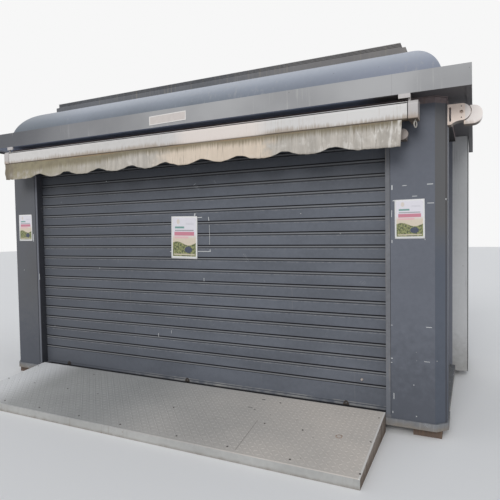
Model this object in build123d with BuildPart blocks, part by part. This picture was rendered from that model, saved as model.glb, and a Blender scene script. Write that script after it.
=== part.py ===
from build123d import *
import os

# A street kiosk: one closed room behind a roller shutter, with a ramp up to the sill,
# a retracted awning over the opening and a pillow roof. Millimetres, front facing -Y.

# Body
opening_width = 3764
column_width = 391
column_depth = 300
corner_chamfer = 80
body_depth = 2600
wall_recess = 70
wall_thickness = 50

# Levels above the ground
foot_height = 62
base_height = 54
floor_thickness = 24
column_top = 2448
header_height = 46
header_depth = 70
header_lip = 8
header_lip_height = 6

# Base
foot_length = 200
foot_width = 190
foot_inset = 35
shoe_proud = 10
rail_width = 100
joist_width = 60
joist_count = 3

# Eave
front_overhang = 200
side_overhang = 160
fascia_height = 145
fascia_drop = 10
fascia_flange = 35
eave_bearing = 70
gutter_depth = 29

# Roof
cove_inset = 25
cove_radius = 345
roof_sheet = 6
deck_front_inset = 398
deck_side_inset = 367
upstand_height = 75
upstand_proud = 40
deck_height = 40
deck_groove_depth = 8
deck_groove_height = 4
deck_groove_pitch = 10
deck_groove_count = 3

# Roller shutter
shutter_recess = 75
slat_pitch = 110
slat_count = 20
slat_gauge = 2.0
hook_clearance = 0.3
hook_low = 4
hook_rise = 9
hook_tail = 5
bead_height = 22
bead_proud = 2.5
groove_width = 7
groove_depth = 4
neck_low = 11
neck_high = 5.5
bottom_bar_height = 170
bottom_bar_foot = 22
guide_width = 34
guide_gap = 3
guide_setback = 2
guide_wall = 3
guide_grip = 20
guide_clearance = 0.6

# Awning end castings
casting_radius = 60
casting_foot = 85
casting_bore = 25
casting_bore_depth = 22
axis_reach = 92
plate_thickness = 10
plate_gap = 14
plate_slot = 104
plate_slot_drop = 12
cap_height = 130
cap_depth = 120
cap_step = 6
cap_drop = 24
cap_clearance = 7
cap_clearance_depth = 24

# Front awning
awning_bearing = 197
awning_offset = 22
awning_reach = 220
bracket_width = 64
bracket_inset = 28
bar_height = 125
bar_depth = 78
bar_gap = 6
bar_round = 34
bar_foot_round = 10
bar_lip = 10
bar_slot = 8
bar_slot_depth = 18
bar_end_plate = 4
bar_end_proud = 2
roller_radius = 46
cloth_gauge = 3
cloth_clearance = 0.3
cloth_rail = 8
valance_drop = 174
valance_setback = 8
valance_gap = 114
scallop_count = 8
scallop_lead = 510
scallop_tail = 468
scallop_depth = 37
crest_share = 0.3

# Awning arms, hangers and crank eye
arm_height = 34
arm_depth = 26
arm_drop = 169
arm_gap = 12
arm_shoulder = 44
arm_elbow = 80
arm_fork = 24
fork_setback = 66
pivot_radius = 40
pivot_depth = 24
pivot_reach = 90
pivot_round = 5
hanger_width = 80
hanger_height = 30
hanger_depth = 12
hanger_inset = 79
hanger_offset = -12
strut_radius = 9
strut_length = 50
strut_offset = 32
strut_setback = 28
ring_radius = 22
ring_wire = 4
ring_neck = 5
neck_radius = 3
ring_turn = 73
ring_inset = 21
ring_reach = 172

# Side bracket and side cabinets
side_bracket_reach = 228
side_bracket_depth = 90
side_bracket_drop = 14
side_bracket_round = 60
cabinet_rear_gap = 40
cabinet_length = 560
cabinet_proud = 120
cabinet_corner = 25

# Ramp
ramp_length = 894
ramp_clearance = 20
ramp_offset = 15
ramp_sill = 152
ramp_lip = 70
ramp_sheet = 6
stringer_count = 4
stringer_height = 40
stringer_width = 40

# Worked out from the sizes above
body_width = opening_width + 2 * column_width
guide_space = guide_width + guide_gap
clear_width = opening_width - 2 * guide_space
overall_depth = ramp_length + body_depth + front_overhang
front_y = ramp_length - overall_depth / 2
rear_y = front_y + body_depth
centre_y = (front_y + rear_y) / 2
centre_x = (side_overhang - side_bracket_reach) / 2
right_x = centre_x + body_width / 2
base_top = foot_height + base_height
floor_top = base_top + floor_thickness
soffit_level = column_top + header_height
fascia_bottom = soffit_level - fascia_drop
fascia_top = fascia_bottom + fascia_height
ledge_level = fascia_top - gutter_depth
roof_level = ledge_level + cove_radius
upstand_top = roof_level + upstand_height
deck_top = upstand_top + deck_height
curtain_y = front_y + shutter_recess
hook_step = slat_gauge + hook_clearance
awning_x = centre_x + awning_offset
awning_length = opening_width + 2 * awning_bearing
bar_front = front_y - awning_reach
cap_top = fascia_bottom - strut_length
cap_level = cap_top - cap_height / 2
cap_bottom = cap_level - cap_height / 2
bar_bottom = cap_level - bar_height / 2
axis_level = cap_level + cap_drop
arm_level = axis_level - arm_drop
valance_length = awning_length - valance_gap
ramp_x = centre_x + ramp_offset
ramp_width = clear_width - 2 * ramp_clearance
ramp_front = front_y - ramp_length

os.makedirs("parts", exist_ok=True)


def save(piece, name):
    piece.part.label = name
    export_step(piece.part, f"parts/{name}.step")


def body_outline(grow=0.0):
    """Plan of the body with its four chamfered corners, as a sketch."""
    with BuildSketch() as outline:
        with Locations((centre_x, centre_y)):
            Rectangle(body_width + 2 * grow, body_depth + 2 * grow)
        chamfer(outline.vertices(), corner_chamfer)
    return outline.sketch


def corner_plan(side, end, width, grow=0.0):
    """Plan of one corner: side -1 left or 1 right, end -1 front or 1 rear."""
    with BuildSketch() as plan:
        add(body_outline(grow))
        with Locations((centre_x + side * body_width / 2, centre_y + end * body_depth / 2)):
            Rectangle(2 * width, 2 * (column_depth + grow), mode=Mode.INTERSECT)
    return plan.sketch


# Feet and base
with BuildPart() as base_feet:
    with BuildSketch(Plane.XY):
        foot_x = body_width / 2 - foot_inset - foot_length / 2
        foot_y = body_depth / 2 - foot_inset - foot_width / 2
        with Locations((centre_x, centre_y)):
            with GridLocations(foot_x, 2 * foot_y, 3, 2):
                Rectangle(foot_length, foot_width)
    extrude(amount=foot_height)
save(base_feet, "base_feet")

with BuildPart() as base_shoes:
    with BuildSketch(Plane.XY.offset(foot_height)):
        for side in (-1, 1):
            for end in (-1, 1):
                add(corner_plan(side, end, column_width + guide_space, shoe_proud))
    extrude(amount=base_height)
save(base_shoes, "base_shoes")

side_rail_length = body_depth - 2 * column_depth - 2 * shoe_proud
with BuildPart() as base_rails:
    with BuildSketch(Plane.XY.offset(foot_height)):
        with Locations((centre_x, centre_y)):
            with GridLocations(0, body_depth - rail_width, 1, 2):
                Rectangle(clear_width, rail_width)
            with GridLocations(body_width - rail_width, 0, 2, 1):
                Rectangle(rail_width, side_rail_length)
    extrude(amount=base_height)
save(base_rails, "base_rails")

with BuildPart() as base_joists:
    joist_spacing = clear_width / (joist_count + 1)
    with BuildSketch(Plane.XY.offset(foot_height)):
        with Locations((centre_x, centre_y)):
            with GridLocations(joist_spacing, 0, joist_count, 1):
                Rectangle(joist_width, body_depth - 2 * rail_width)
    extrude(amount=base_height)
save(base_joists, "base_joists")

with BuildPart() as floor_panel:
    wall_inside = body_width - 2 * wall_recess - 2 * wall_thickness
    floor_back = rear_y - wall_recess - wall_thickness
    with BuildSketch(Plane.XY.offset(base_top)):
        with Locations((centre_x, (front_y + floor_back) / 2)):
            Rectangle(opening_width, floor_back - front_y)
        with Locations((centre_x, centre_y)):
            Rectangle(wall_inside, body_depth - 2 * column_depth)
    extrude(amount=floor_thickness)
save(floor_panel, "floor_panel")

# Columns and walls
for side, side_name in ((-1, "left"), (1, "right")):
    for end, end_name in ((-1, "front"), (1, "rear")):
        with BuildPart() as column:
            with BuildSketch(Plane.XY.offset(base_top)):
                add(corner_plan(side, end, column_width))
            extrude(amount=column_top - base_top)
        save(column, f"column_{end_name}_{side_name}")

wall_height = soffit_level - base_top
for side, side_name in ((-1, "left"), (1, "right")):
    with BuildPart() as side_wall:
        wall_x = centre_x + side * (body_width / 2 - wall_recess - wall_thickness / 2)
        with BuildSketch(Plane.XY.offset(base_top)):
            with Locations((wall_x, centre_y)):
                Rectangle(wall_thickness, body_depth - 2 * column_depth)
        extrude(amount=wall_height)
    save(side_wall, f"{side_name}_wall")

with BuildPart() as rear_wall:
    with BuildSketch(Plane.XY.offset(base_top)):
        with Locations((centre_x, rear_y - wall_recess - wall_thickness / 2)):
            Rectangle(opening_width, wall_thickness)
    extrude(amount=wall_height)
save(rear_wall, "rear_wall")

# Headers: flat beams on the column tops, with a thin lip under the soffit front and rear
for end, end_name in ((-1, "front"), (1, "rear")):
    with BuildPart() as end_header:
        end_y = centre_y + end * body_depth / 2
        with BuildSketch(Plane.XY.offset(column_top)):
            add(body_outline())
            with Locations((centre_x, end_y - end * header_depth / 2)):
                Rectangle(body_width, header_depth, mode=Mode.INTERSECT)
        extrude(amount=header_height)
        with BuildSketch(Plane.XY.offset(soffit_level - header_lip_height)):
            add(body_outline(header_lip))
            with Locations((centre_x, end_y - end * (header_depth - header_lip) / 2)):
                Rectangle(body_width + 2 * header_lip, header_depth + header_lip, mode=Mode.INTERSECT)
        extrude(amount=header_lip_height)
    save(end_header, f"header_{end_name}")

for side, side_name in ((-1, "left"), (1, "right")):
    with BuildPart() as side_header:
        header_x = centre_x + side * (body_width / 2 - header_depth / 2)
        with BuildSketch(Plane.XY.offset(column_top)):
            with Locations((header_x, centre_y)):
                Rectangle(header_depth, body_depth - 2 * header_depth)
        extrude(amount=header_height)
    save(side_header, f"header_{side_name}")

# Eave and roof: four mitred lengths each, front, right, rear and left
outwards = {"front": (0, -1), "rear": (0, 1), "left": (-1, 0), "right": (1, 0)}


def mitre_plan(side, reach_x, reach_y):
    """Plan of one mitred length, from the outer corners to the edge of the flat roof."""
    out_x, out_y = body_width / 2 + reach_x, body_depth / 2 + reach_y
    in_x, in_y = body_width / 2 - cove_inset - cove_radius, body_depth / 2 - cove_inset - cove_radius
    way_x, way_y = outwards[side]
    if way_x == 0:
        corners = [(-out_x, way_y * out_y), (out_x, way_y * out_y),
                   (in_x, way_y * in_y), (-in_x, way_y * in_y)]
    else:
        corners = [(way_x * out_x, -out_y), (way_x * out_x, out_y),
                   (way_x * in_x, in_y), (way_x * in_x, -in_y)]
    with BuildSketch() as plan:
        with BuildLine():
            Polyline(*[(centre_x + x, centre_y + y) for x, y in corners], close=True)
        make_face()
    return plan.sketch


def mitred(profile, side, reach_x, reach_y):
    """One side's length of a section drawn with x outwards from the body face and y up."""
    way_x, way_y = outwards[side]
    origin = (centre_x + way_x * body_width / 2, centre_y + way_y * body_depth / 2, 0)
    with BuildPart() as length:
        with BuildSketch(Plane(origin=origin, x_dir=(way_x, way_y, 0), z_dir=(way_y, -way_x, 0))):
            add(profile)
        extrude(amount=body_width, both=True)
        with BuildSketch(Plane.XY):
            add(mitre_plan(side, reach_x, reach_y))
        extrude(amount=deck_top, mode=Mode.INTERSECT)
    return length


def eave_section(overhang):
    """Solid box eave: flanged fascia, soffit, gutter ledge."""
    with BuildSketch() as section:
        with BuildLine():
            Polyline(
                (overhang, fascia_bottom),
                (overhang, fascia_top),
                (overhang - fascia_flange / 2, fascia_top),
                (overhang - fascia_flange / 2, ledge_level),
                (-eave_bearing, ledge_level),
                (-eave_bearing, soffit_level),
                (overhang - fascia_flange, soffit_level),
                (overhang - fascia_flange, fascia_bottom),
                close=True,
            )
        make_face()
    return section.sketch


def cove_section():
    """Quarter-round sheet from the gutter ledge up to the flat roof."""
    outer = -cove_inset
    crown = -cove_inset - cove_radius
    inner_radius = cove_radius - roof_sheet
    with BuildSketch() as section:
        with BuildLine():
            RadiusArc((outer, ledge_level), (crown, roof_level), -cove_radius)
            Line((crown, roof_level), (crown, roof_level - roof_sheet))
            RadiusArc((crown, roof_level - roof_sheet), (outer - roof_sheet, ledge_level), inner_radius)
            Line((outer - roof_sheet, ledge_level), (outer, ledge_level))
        make_face()
    return section.sketch


for side, overhang in (("front", front_overhang), ("rear", front_overhang),
                       ("left", side_overhang), ("right", side_overhang)):
    save(mitred(eave_section(overhang), side, side_overhang, front_overhang), f"eave_{side}")
    save(mitred(cove_section(), side, 0, 0), f"roof_cove_{side}")

crown_inset = cove_inset + cove_radius
with BuildPart() as roof_top:
    with BuildSketch(Plane.XY.offset(roof_level - roof_sheet)):
        with Locations((centre_x, centre_y)):
            Rectangle(body_width - 2 * crown_inset, body_depth - 2 * crown_inset)
    extrude(amount=roof_sheet)
save(roof_top, "roof_top")

deck_length = body_width - 2 * deck_side_inset
deck_depth = body_depth - 2 * deck_front_inset
with BuildPart() as roof_upstand:
    with BuildSketch(Plane.XY.offset(roof_level)):
        with Locations((centre_x, centre_y)):
            Rectangle(deck_length + 2 * upstand_proud, deck_depth)
    extrude(amount=upstand_height)
save(roof_upstand, "roof_upstand")

with BuildPart() as ribbed_deck:
    with BuildSketch(Plane.XY.offset(upstand_top)):
        with Locations((centre_x, centre_y)):
            Rectangle(deck_length, deck_depth)
    extrude(amount=deck_height)
    for groove in range(deck_groove_count):
        groove_level = upstand_top + (groove + 1) * deck_groove_pitch - deck_groove_height / 2
        with BuildSketch(Plane.XY.offset(groove_level)):
            with Locations((centre_x, centre_y)):
                Rectangle(deck_length, deck_depth)
                inner_length = deck_length - 2 * deck_groove_depth
                Rectangle(inner_length, deck_depth - 2 * deck_groove_depth, mode=Mode.SUBTRACT)
        extrude(amount=deck_groove_height, mode=Mode.SUBTRACT)
save(ribbed_deck, "ribbed_deck")

# Roller shutter
curtain_bottom = floor_top + bottom_bar_height
curtain_width = clear_width + 2 * guide_grip
bead_y = curtain_y - bead_proud
lip_y = bead_y + hook_step
catch_y = lip_y + hook_step
back_y = catch_y + hook_step


def lower_hook(foot):
    """Hook and bead at a slat's foot, with the groove over them; it is caught by what hangs below."""
    Polyline((catch_y, foot + hook_rise), (catch_y, foot + hook_low))
    ThreePointArc((catch_y, foot + hook_low), (lip_y, foot + hook_low - hook_step),
                  (bead_y, foot + hook_low))
    Polyline((bead_y, foot + hook_low), (bead_y, foot + bead_height - groove_width),
             (curtain_y + groove_depth, foot + bead_height - groove_width / 2),
             (curtain_y, foot + bead_height))


def upper_hook(top):
    """Neck and hook at a slat's head, behind the bead of the slat above."""
    Polyline((curtain_y, top - neck_low), (back_y, top - neck_high), (back_y, top + hook_rise))
    ThreePointArc((back_y, top + hook_rise), (catch_y, top + hook_rise + hook_step),
                  (lip_y, top + hook_rise))
    Line((lip_y, top + hook_rise), (lip_y, top + hook_tail))


with BuildPart() as shutter_curtain:
    for slat in range(slat_count):
        foot = curtain_bottom + slat * slat_pitch
        with BuildLine() as slat_line:
            lower_hook(foot)
            Line((curtain_y, foot + bead_height), (curtain_y, foot + slat_pitch - neck_low))
            upper_hook(foot + slat_pitch)
        with BuildSketch(Plane.YZ.offset(centre_x - curtain_width / 2)):
            trace(slat_line.line, line_width=slat_gauge)
        extrude(amount=curtain_width)
save(shutter_curtain, "shutter_curtain")

with BuildPart() as shutter_bottom_bar:
    with BuildLine() as bar_line:
        Polyline((curtain_y + bottom_bar_foot, floor_top + slat_gauge / 2),
                 (curtain_y, floor_top + slat_gauge / 2),
                 (curtain_y, curtain_bottom - neck_low))
        upper_hook(curtain_bottom)
    with BuildSketch(Plane.YZ.offset(centre_x - curtain_width / 2)):
        trace(bar_line.line, line_width=slat_gauge)
    extrude(amount=curtain_width)
save(shutter_bottom_bar, "shutter_bottom_bar")

guide_front = front_y + guide_setback
slot_front = bead_y - slat_gauge / 2 - guide_clearance
slot_back = curtain_y + bottom_bar_foot + guide_clearance
guide_back = slot_back + guide_wall
for side, side_name in ((-1, "left"), (1, "right")):
    with BuildPart() as guide:
        guide_x = centre_x + side * (clear_width + guide_width) / 2
        slot_end = clear_width / 2 + guide_grip + guide_clearance
        with BuildSketch(Plane.XY.offset(floor_top)):
            with Locations((guide_x, (guide_front + guide_back) / 2)):
                Rectangle(guide_width, guide_back - guide_front)
            with Locations((centre_x + side * (slot_end - guide_width / 2), (slot_front + slot_back) / 2)):
                Rectangle(guide_width, slot_back - slot_front, mode=Mode.SUBTRACT)
        extrude(amount=column_top - floor_top)
    save(guide, f"shutter_guide_{side_name}")


# Awning end castings, seen from the side: x outwards from the wall, y up
def casting_outline(drop):
    """Round housing of the roller's end, with its flat top and its curved foot at the wall."""
    foot_x = plate_thickness + plate_gap
    axis = axis_level - drop
    top = axis + casting_radius
    foot = axis - casting_foot
    with BuildSketch() as outline:
        with BuildLine():
            Polyline((foot_x, foot), (0, foot), (0, top), (axis_reach, top))
            CenterArc((axis_reach, axis), casting_radius, -90, 180)
            Spline((axis_reach, axis - casting_radius), (foot_x, foot), tangents=((-1, 0), (-1, -1)))
        make_face()
    return outline.sketch


def rounded_end(reach, level, depth, height, top_round, foot_round):
    """Front section of the bar and the caps: flat towards the wall, rounded outside."""
    with BuildSketch() as outline:
        with Locations((reach - depth / 2, level)):
            Rectangle(depth, height)
        outer_corners = outline.vertices().group_by(Axis.X)[-1].sort_by(Axis.Y)
        fillet(outer_corners[0], foot_round)
        top_corner = outline.vertices().group_by(Axis.Y)[-1].sort_by(Axis.X)[-1]
        fillet(top_corner, top_round)
    return outline.sketch


def casting(face, inward, drop, width):
    """The housing behind its outer face; inward is 1 where the face's normal points in, else -1."""
    with BuildPart() as housing:
        with BuildSketch(face):
            add(casting_outline(drop))
        extrude(amount=inward * width)
        with BuildSketch(face):
            with Locations((plate_thickness + plate_gap / 2, axis_level - drop - plate_slot_drop)):
                SlotOverall(plate_slot, plate_gap, rotation=90)
        extrude(amount=inward * width, mode=Mode.SUBTRACT)
        with BuildSketch(face):
            with Locations((axis_reach, axis_level - drop)):
                Circle(casting_bore / 2)
        extrude(amount=inward * casting_bore_depth, mode=Mode.SUBTRACT)
    return housing.part


with BuildPart() as awning_brackets:
    for side in (-1, 1):
        outer_face = Plane(origin=(awning_x + side * awning_length / 2, front_y, 0),
                           x_dir=(0, -1, 0), z_dir=(-1, 0, 0))
        with BuildSketch(outer_face):
            add(rounded_end(awning_reach, cap_level, cap_depth, cap_height, bar_round, bar_foot_round))
        extrude(amount=side * bracket_width)
        inset_face = outer_face.offset(side * bracket_inset)
        add(casting(inset_face, side, 0, bracket_width - bracket_inset))
save(awning_brackets, "awning_brackets")

# Side bracket: what is left of a side awning
with BuildPart() as side_bracket:
    bracket_y = front_y + corner_chamfer
    bracket_face = Plane(origin=(right_x, bracket_y, 0), x_dir=(1, 0, 0), z_dir=(0, -1, 0))
    with BuildSketch(bracket_face.offset(-cap_step)):
        add(rounded_end(side_bracket_reach, cap_level - side_bracket_drop, cap_depth, cap_height,
                        side_bracket_round, side_bracket_round))
    extrude(amount=cap_step - side_bracket_depth)
    with BuildSketch(bracket_face):
        with Locations((axis_reach, axis_level - side_bracket_drop)):
            Circle(casting_radius + cap_clearance)
    extrude(amount=-cap_clearance_depth, mode=Mode.SUBTRACT)
    add(casting(bracket_face, -1, side_bracket_drop, side_bracket_depth))
save(side_bracket, "side_bracket")

# Front awning, retracted
bar_length = awning_length - 2 * bracket_width - 2 * bar_gap
section_plane = Plane(origin=(awning_x, front_y, 0), x_dir=(0, -1, 0), z_dir=(-1, 0, 0))
with BuildPart() as awning_front_bar:
    with BuildSketch(section_plane):
        add(rounded_end(awning_reach, cap_level, bar_depth, bar_height, bar_round, bar_foot_round))
    extrude(amount=bar_length / 2, both=True)
    slotted = bar_length / 2 - bar_end_plate
    with BuildSketch(section_plane):
        with Locations((awning_reach, cap_level + bar_height / 2 - bar_lip - bar_slot / 2)):
            Rectangle(2 * bar_slot_depth, bar_slot)
    extrude(amount=slotted, both=True, mode=Mode.SUBTRACT)
    for side in (-1, 1):
        with BuildSketch(section_plane.offset(side * slotted)):
            add(rounded_end(awning_reach + bar_end_proud, cap_level, bar_depth, bar_height,
                            bar_round, bar_foot_round))
        extrude(amount=side * bar_end_plate)
    rail_top = bar_bottom + bar_foot_round
    with BuildSketch(section_plane):
        with Locations((awning_reach - valance_setback - cloth_rail / 2, (rail_top + cap_bottom) / 2)):
            Rectangle(cloth_rail, rail_top - cap_bottom)
    extrude(amount=slotted, both=True)
save(awning_front_bar, "awning_front_bar")

with BuildPart() as awning_roller:
    with BuildSketch(section_plane):
        with Locations((axis_reach, axis_level)):
            Circle(roller_radius)
    extrude(amount=awning_length / 2 - bracket_width, both=True)
save(awning_roller, "awning_roller")

# Valance: level ends and a scalloped edge of wide troughs and narrow crests between them
with BuildPart() as awning_valance:
    valance_top = cap_bottom - cloth_clearance
    valance_bottom = valance_top - valance_drop
    crest_top = valance_bottom + scallop_depth
    turn_level = crest_top - crest_share * scallop_depth
    valance_left = awning_x - awning_length / 2
    valance_right = valance_left + valance_length
    scallop_pitch = (valance_length - scallop_lead - scallop_tail) / scallop_count
    crest_half = crest_share * scallop_pitch / 2
    first_crest = valance_left + scallop_lead
    last_crest = first_crest + scallop_count * scallop_pitch
    with BuildSketch(Plane.XZ.offset(-(bar_front + valance_setback))):
        with BuildLine():
            for crest in range(scallop_count + 1):
                at = first_crest + crest * scallop_pitch
                ThreePointArc((at - crest_half, turn_level), (at, crest_top), (at + crest_half, turn_level))
            for scallop in range(scallop_count):
                at = first_crest + scallop * scallop_pitch
                ThreePointArc((at + crest_half, turn_level), (at + scallop_pitch / 2, valance_bottom),
                              (at + scallop_pitch - crest_half, turn_level))
            level_left = first_crest - scallop_pitch / 2
            level_right = last_crest + scallop_pitch / 2
            TangentArc((level_left, valance_bottom), (first_crest - crest_half, turn_level), tangent=(1, 0))
            TangentArc((level_right, valance_bottom), (last_crest + crest_half, turn_level), tangent=(-1, 0))
            Polyline((level_right, valance_bottom), (valance_right, valance_bottom),
                     (valance_right, valance_top), (valance_left, valance_top),
                     (valance_left, valance_bottom), (level_left, valance_bottom))
        make_face()
    extrude(amount=-cloth_gauge)
save(awning_valance, "awning_valance")

# Folded arms: shoulder at the wall, elbow near the middle, fork up to the front bar
with BuildPart() as awning_arms:
    for side in (-1, 1):
        shoulder_x = awning_x + side * (awning_length / 2 - bracket_width - arm_gap - pivot_radius)
        shoulder_y = front_y - pivot_reach + arm_shoulder / 2
        with BuildSketch(Plane.XY.offset(arm_level - arm_height)):
            with Locations((shoulder_x, shoulder_y)):
                Circle(arm_shoulder / 2)
            with Locations((shoulder_x, (front_y + shoulder_y) / 2)):
                Rectangle(arm_shoulder, front_y - shoulder_y)
        extrude(amount=2 * arm_height)
        with BuildSketch(Plane.XZ.offset(pivot_reach + pivot_depth - front_y)):
            with Locations((shoulder_x, arm_level)):
                Circle(pivot_radius)
        extrude(amount=-pivot_depth)
        pivot_rim = awning_arms.edges().filter_by(GeomType.CIRCLE).group_by(Axis.Y)[0]
        fillet(pivot_rim.sort_by(Axis.X)[-1 if side > 0 else 0], pivot_round)
        elbow_x = awning_x + side * arm_elbow
        outer_arm_y = shoulder_y - 2 * arm_depth
        fork_x = shoulder_x - side * (pivot_radius + arm_gap + arm_fork)
        fork_y = bar_front + fork_setback
        with BuildSketch(Plane.XY.offset(arm_level - arm_height / 2)):
            with Locations(((shoulder_x + elbow_x) / 2, shoulder_y)):
                Rectangle(abs(shoulder_x - elbow_x), arm_depth)
            with Locations((elbow_x, (shoulder_y + outer_arm_y) / 2)):
                Circle(arm_elbow / 2)
            with Locations(((fork_x + elbow_x) / 2, outer_arm_y)):
                Rectangle(abs(fork_x - elbow_x), arm_depth)
            with Locations((fork_x, (fork_y + outer_arm_y) / 2)):
                Rectangle(2 * arm_fork, abs(fork_y - outer_arm_y) + arm_fork)
        extrude(amount=arm_height)
        with BuildSketch(Plane.XY.offset(arm_level)):
            with Locations((fork_x, fork_y)):
                Rectangle(2 * arm_fork, arm_fork)
        extrude(amount=bar_bottom - arm_level)
save(awning_arms, "awning_arms")

with BuildPart() as awning_hangers:
    for side in (-1, 1):
        hanger_x = awning_x + hanger_offset + side * (awning_length / 2 - hanger_inset)
        fascia_y = front_y - front_overhang
        with BuildSketch(Plane.XY.offset(fascia_bottom - hanger_height)):
            with Locations((hanger_x, fascia_y + hanger_depth / 2)):
                Rectangle(hanger_width, hanger_depth)
        extrude(amount=hanger_height)
        with BuildSketch(Plane.XY.offset(cap_top)):
            with Locations((hanger_x + side * strut_offset, fascia_y + strut_setback)):
                Circle(strut_radius)
        extrude(amount=strut_length)
save(awning_hangers, "awning_hangers")

with BuildPart() as crank_eye:
    eye_x = awning_x + awning_length / 2 - ring_inset
    eye_y = front_y - ring_reach
    eye_level = cap_bottom - ring_neck - ring_radius - ring_wire
    ring_way = Vector(0, -1, 0).rotate(Axis.Z, ring_turn)
    upwards = Vector(0, 0, 1)
    ring_section = Plane(origin=(eye_x, eye_y, eye_level), x_dir=upwards, z_dir=upwards.cross(ring_way))
    with BuildSketch(ring_section):
        with Locations((ring_radius, 0)):
            Circle(ring_wire)
    revolve(axis=Axis(ring_section.origin, ring_way))
    with BuildSketch(Plane.XY.offset(cap_bottom)):
        with Locations((eye_x, eye_y)):
            Circle(neck_radius)
    extrude(amount=-ring_neck - ring_wire)
save(crank_eye, "crank_eye")

# Side cabinets
cabinet_start = body_depth - column_depth - cabinet_rear_gap - cabinet_length
for side, side_name in ((-1, "left"), (1, "right")):
    with BuildPart() as cabinet:
        inner_x = centre_x + side * (body_width / 2 - wall_recess)
        side_x = centre_x + side * body_width / 2
        with BuildSketch(Plane.XZ.offset(-(front_y + cabinet_start))) as end_face:
            with Locations((side_x + side * cabinet_proud / 2, (foot_height + soffit_level) / 2)):
                Rectangle(cabinet_proud, soffit_level - foot_height)
            outer_edge = end_face.vertices().group_by(Axis.X)[-1 if side > 0 else 0]
            fillet(outer_edge.sort_by(Axis.Y)[-1], cabinet_corner)
            with Locations(((inner_x + side_x) / 2, (base_top + column_top) / 2)):
                Rectangle(wall_recess, column_top - base_top)
        extrude(amount=-cabinet_length)
    save(cabinet, f"side_cabinet_{side_name}")

# Ramp: a plate on its front lip, two side plates and stringers
ramp_plane = Plane(origin=(ramp_x, front_y, 0), x_dir=(0, -1, 0), z_dir=(-1, 0, 0))
lip_reach = ramp_length - ramp_sheet


def under_ramp(reach):
    """Level of the plate's underside, at a distance out from the sill."""
    return ramp_sill - ramp_sheet - (ramp_sill - ramp_lip) * reach / ramp_length


with BuildPart() as ramp_plate:
    with BuildSketch(ramp_plane):
        with BuildLine():
            Polyline((0, ramp_sill), (ramp_length, ramp_lip), (ramp_length, ramp_lip - ramp_sheet),
                     (0, ramp_sill - ramp_sheet), close=True)
        make_face()
    extrude(amount=ramp_width / 2, both=True)
save(ramp_plate, "ramp_plate")

with BuildPart() as ramp_front_lip:
    with BuildSketch(Plane.XY):
        with Locations((ramp_x, ramp_front + ramp_sheet / 2)):
            Rectangle(ramp_width, ramp_sheet)
    extrude(amount=ramp_lip - ramp_sheet)
save(ramp_front_lip, "ramp_front_lip")

with BuildPart() as ramp_sides:
    for side in (-1, 1):
        with BuildSketch(ramp_plane.offset(side * (ramp_width / 2 - ramp_sheet))):
            with BuildLine():
                Polyline((0, 0), (0, under_ramp(0)), (lip_reach, under_ramp(lip_reach)),
                         (lip_reach, 0), close=True)
            make_face()
        extrude(amount=side * ramp_sheet)
save(ramp_sides, "ramp_sides")

with BuildPart() as ramp_stringers:
    stringer_spacing = ramp_width / (stringer_count + 1)
    for stringer in range(stringer_count):
        stringer_start = (stringer + 1) * stringer_spacing - ramp_width / 2
        with BuildSketch(ramp_plane.offset(stringer_start)):
            with BuildLine():
                Polyline((0, under_ramp(0) - stringer_height), (0, under_ramp(0)),
                         (lip_reach, under_ramp(lip_reach)),
                         (lip_reach, under_ramp(lip_reach) - stringer_height), close=True)
            make_face()
        extrude(amount=stringer_width / 2, both=True)
save(ramp_stringers, "ramp_stringers")
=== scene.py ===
import math

import bmesh
import bpy
from mathutils import Matrix, Vector, noise


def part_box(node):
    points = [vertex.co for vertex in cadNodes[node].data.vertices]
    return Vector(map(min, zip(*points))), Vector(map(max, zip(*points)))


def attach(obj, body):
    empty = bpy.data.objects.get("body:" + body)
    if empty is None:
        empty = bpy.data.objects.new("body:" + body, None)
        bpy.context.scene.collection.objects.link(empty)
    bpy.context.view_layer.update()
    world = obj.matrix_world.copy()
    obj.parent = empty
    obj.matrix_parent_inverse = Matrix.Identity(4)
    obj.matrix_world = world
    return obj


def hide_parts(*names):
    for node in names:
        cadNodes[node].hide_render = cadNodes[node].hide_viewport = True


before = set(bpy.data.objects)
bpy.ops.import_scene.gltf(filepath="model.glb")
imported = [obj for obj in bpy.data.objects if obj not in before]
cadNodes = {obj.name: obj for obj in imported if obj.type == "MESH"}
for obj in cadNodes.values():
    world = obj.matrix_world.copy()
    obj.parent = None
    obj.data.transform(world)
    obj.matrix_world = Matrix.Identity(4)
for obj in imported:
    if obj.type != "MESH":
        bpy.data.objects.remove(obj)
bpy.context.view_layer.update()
scene = bpy.context.scene
origin = (0.0, 0.0, 0.0)
up, down = (0.0, 0.0, 1.0), (0.0, 0.0, -1.0)
print("frame loaded:", len(cadNodes), "nodes")


def plug(tree, socket, value):
    # another node's socket is linked, and anything else is a fixed value
    if isinstance(value, bpy.types.NodeSocket):
        tree.links.new(value, socket)
    elif socket.type == "RGBA":
        socket.default_value = (*value, 1.0)
    else:
        socket.default_value = value


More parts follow.
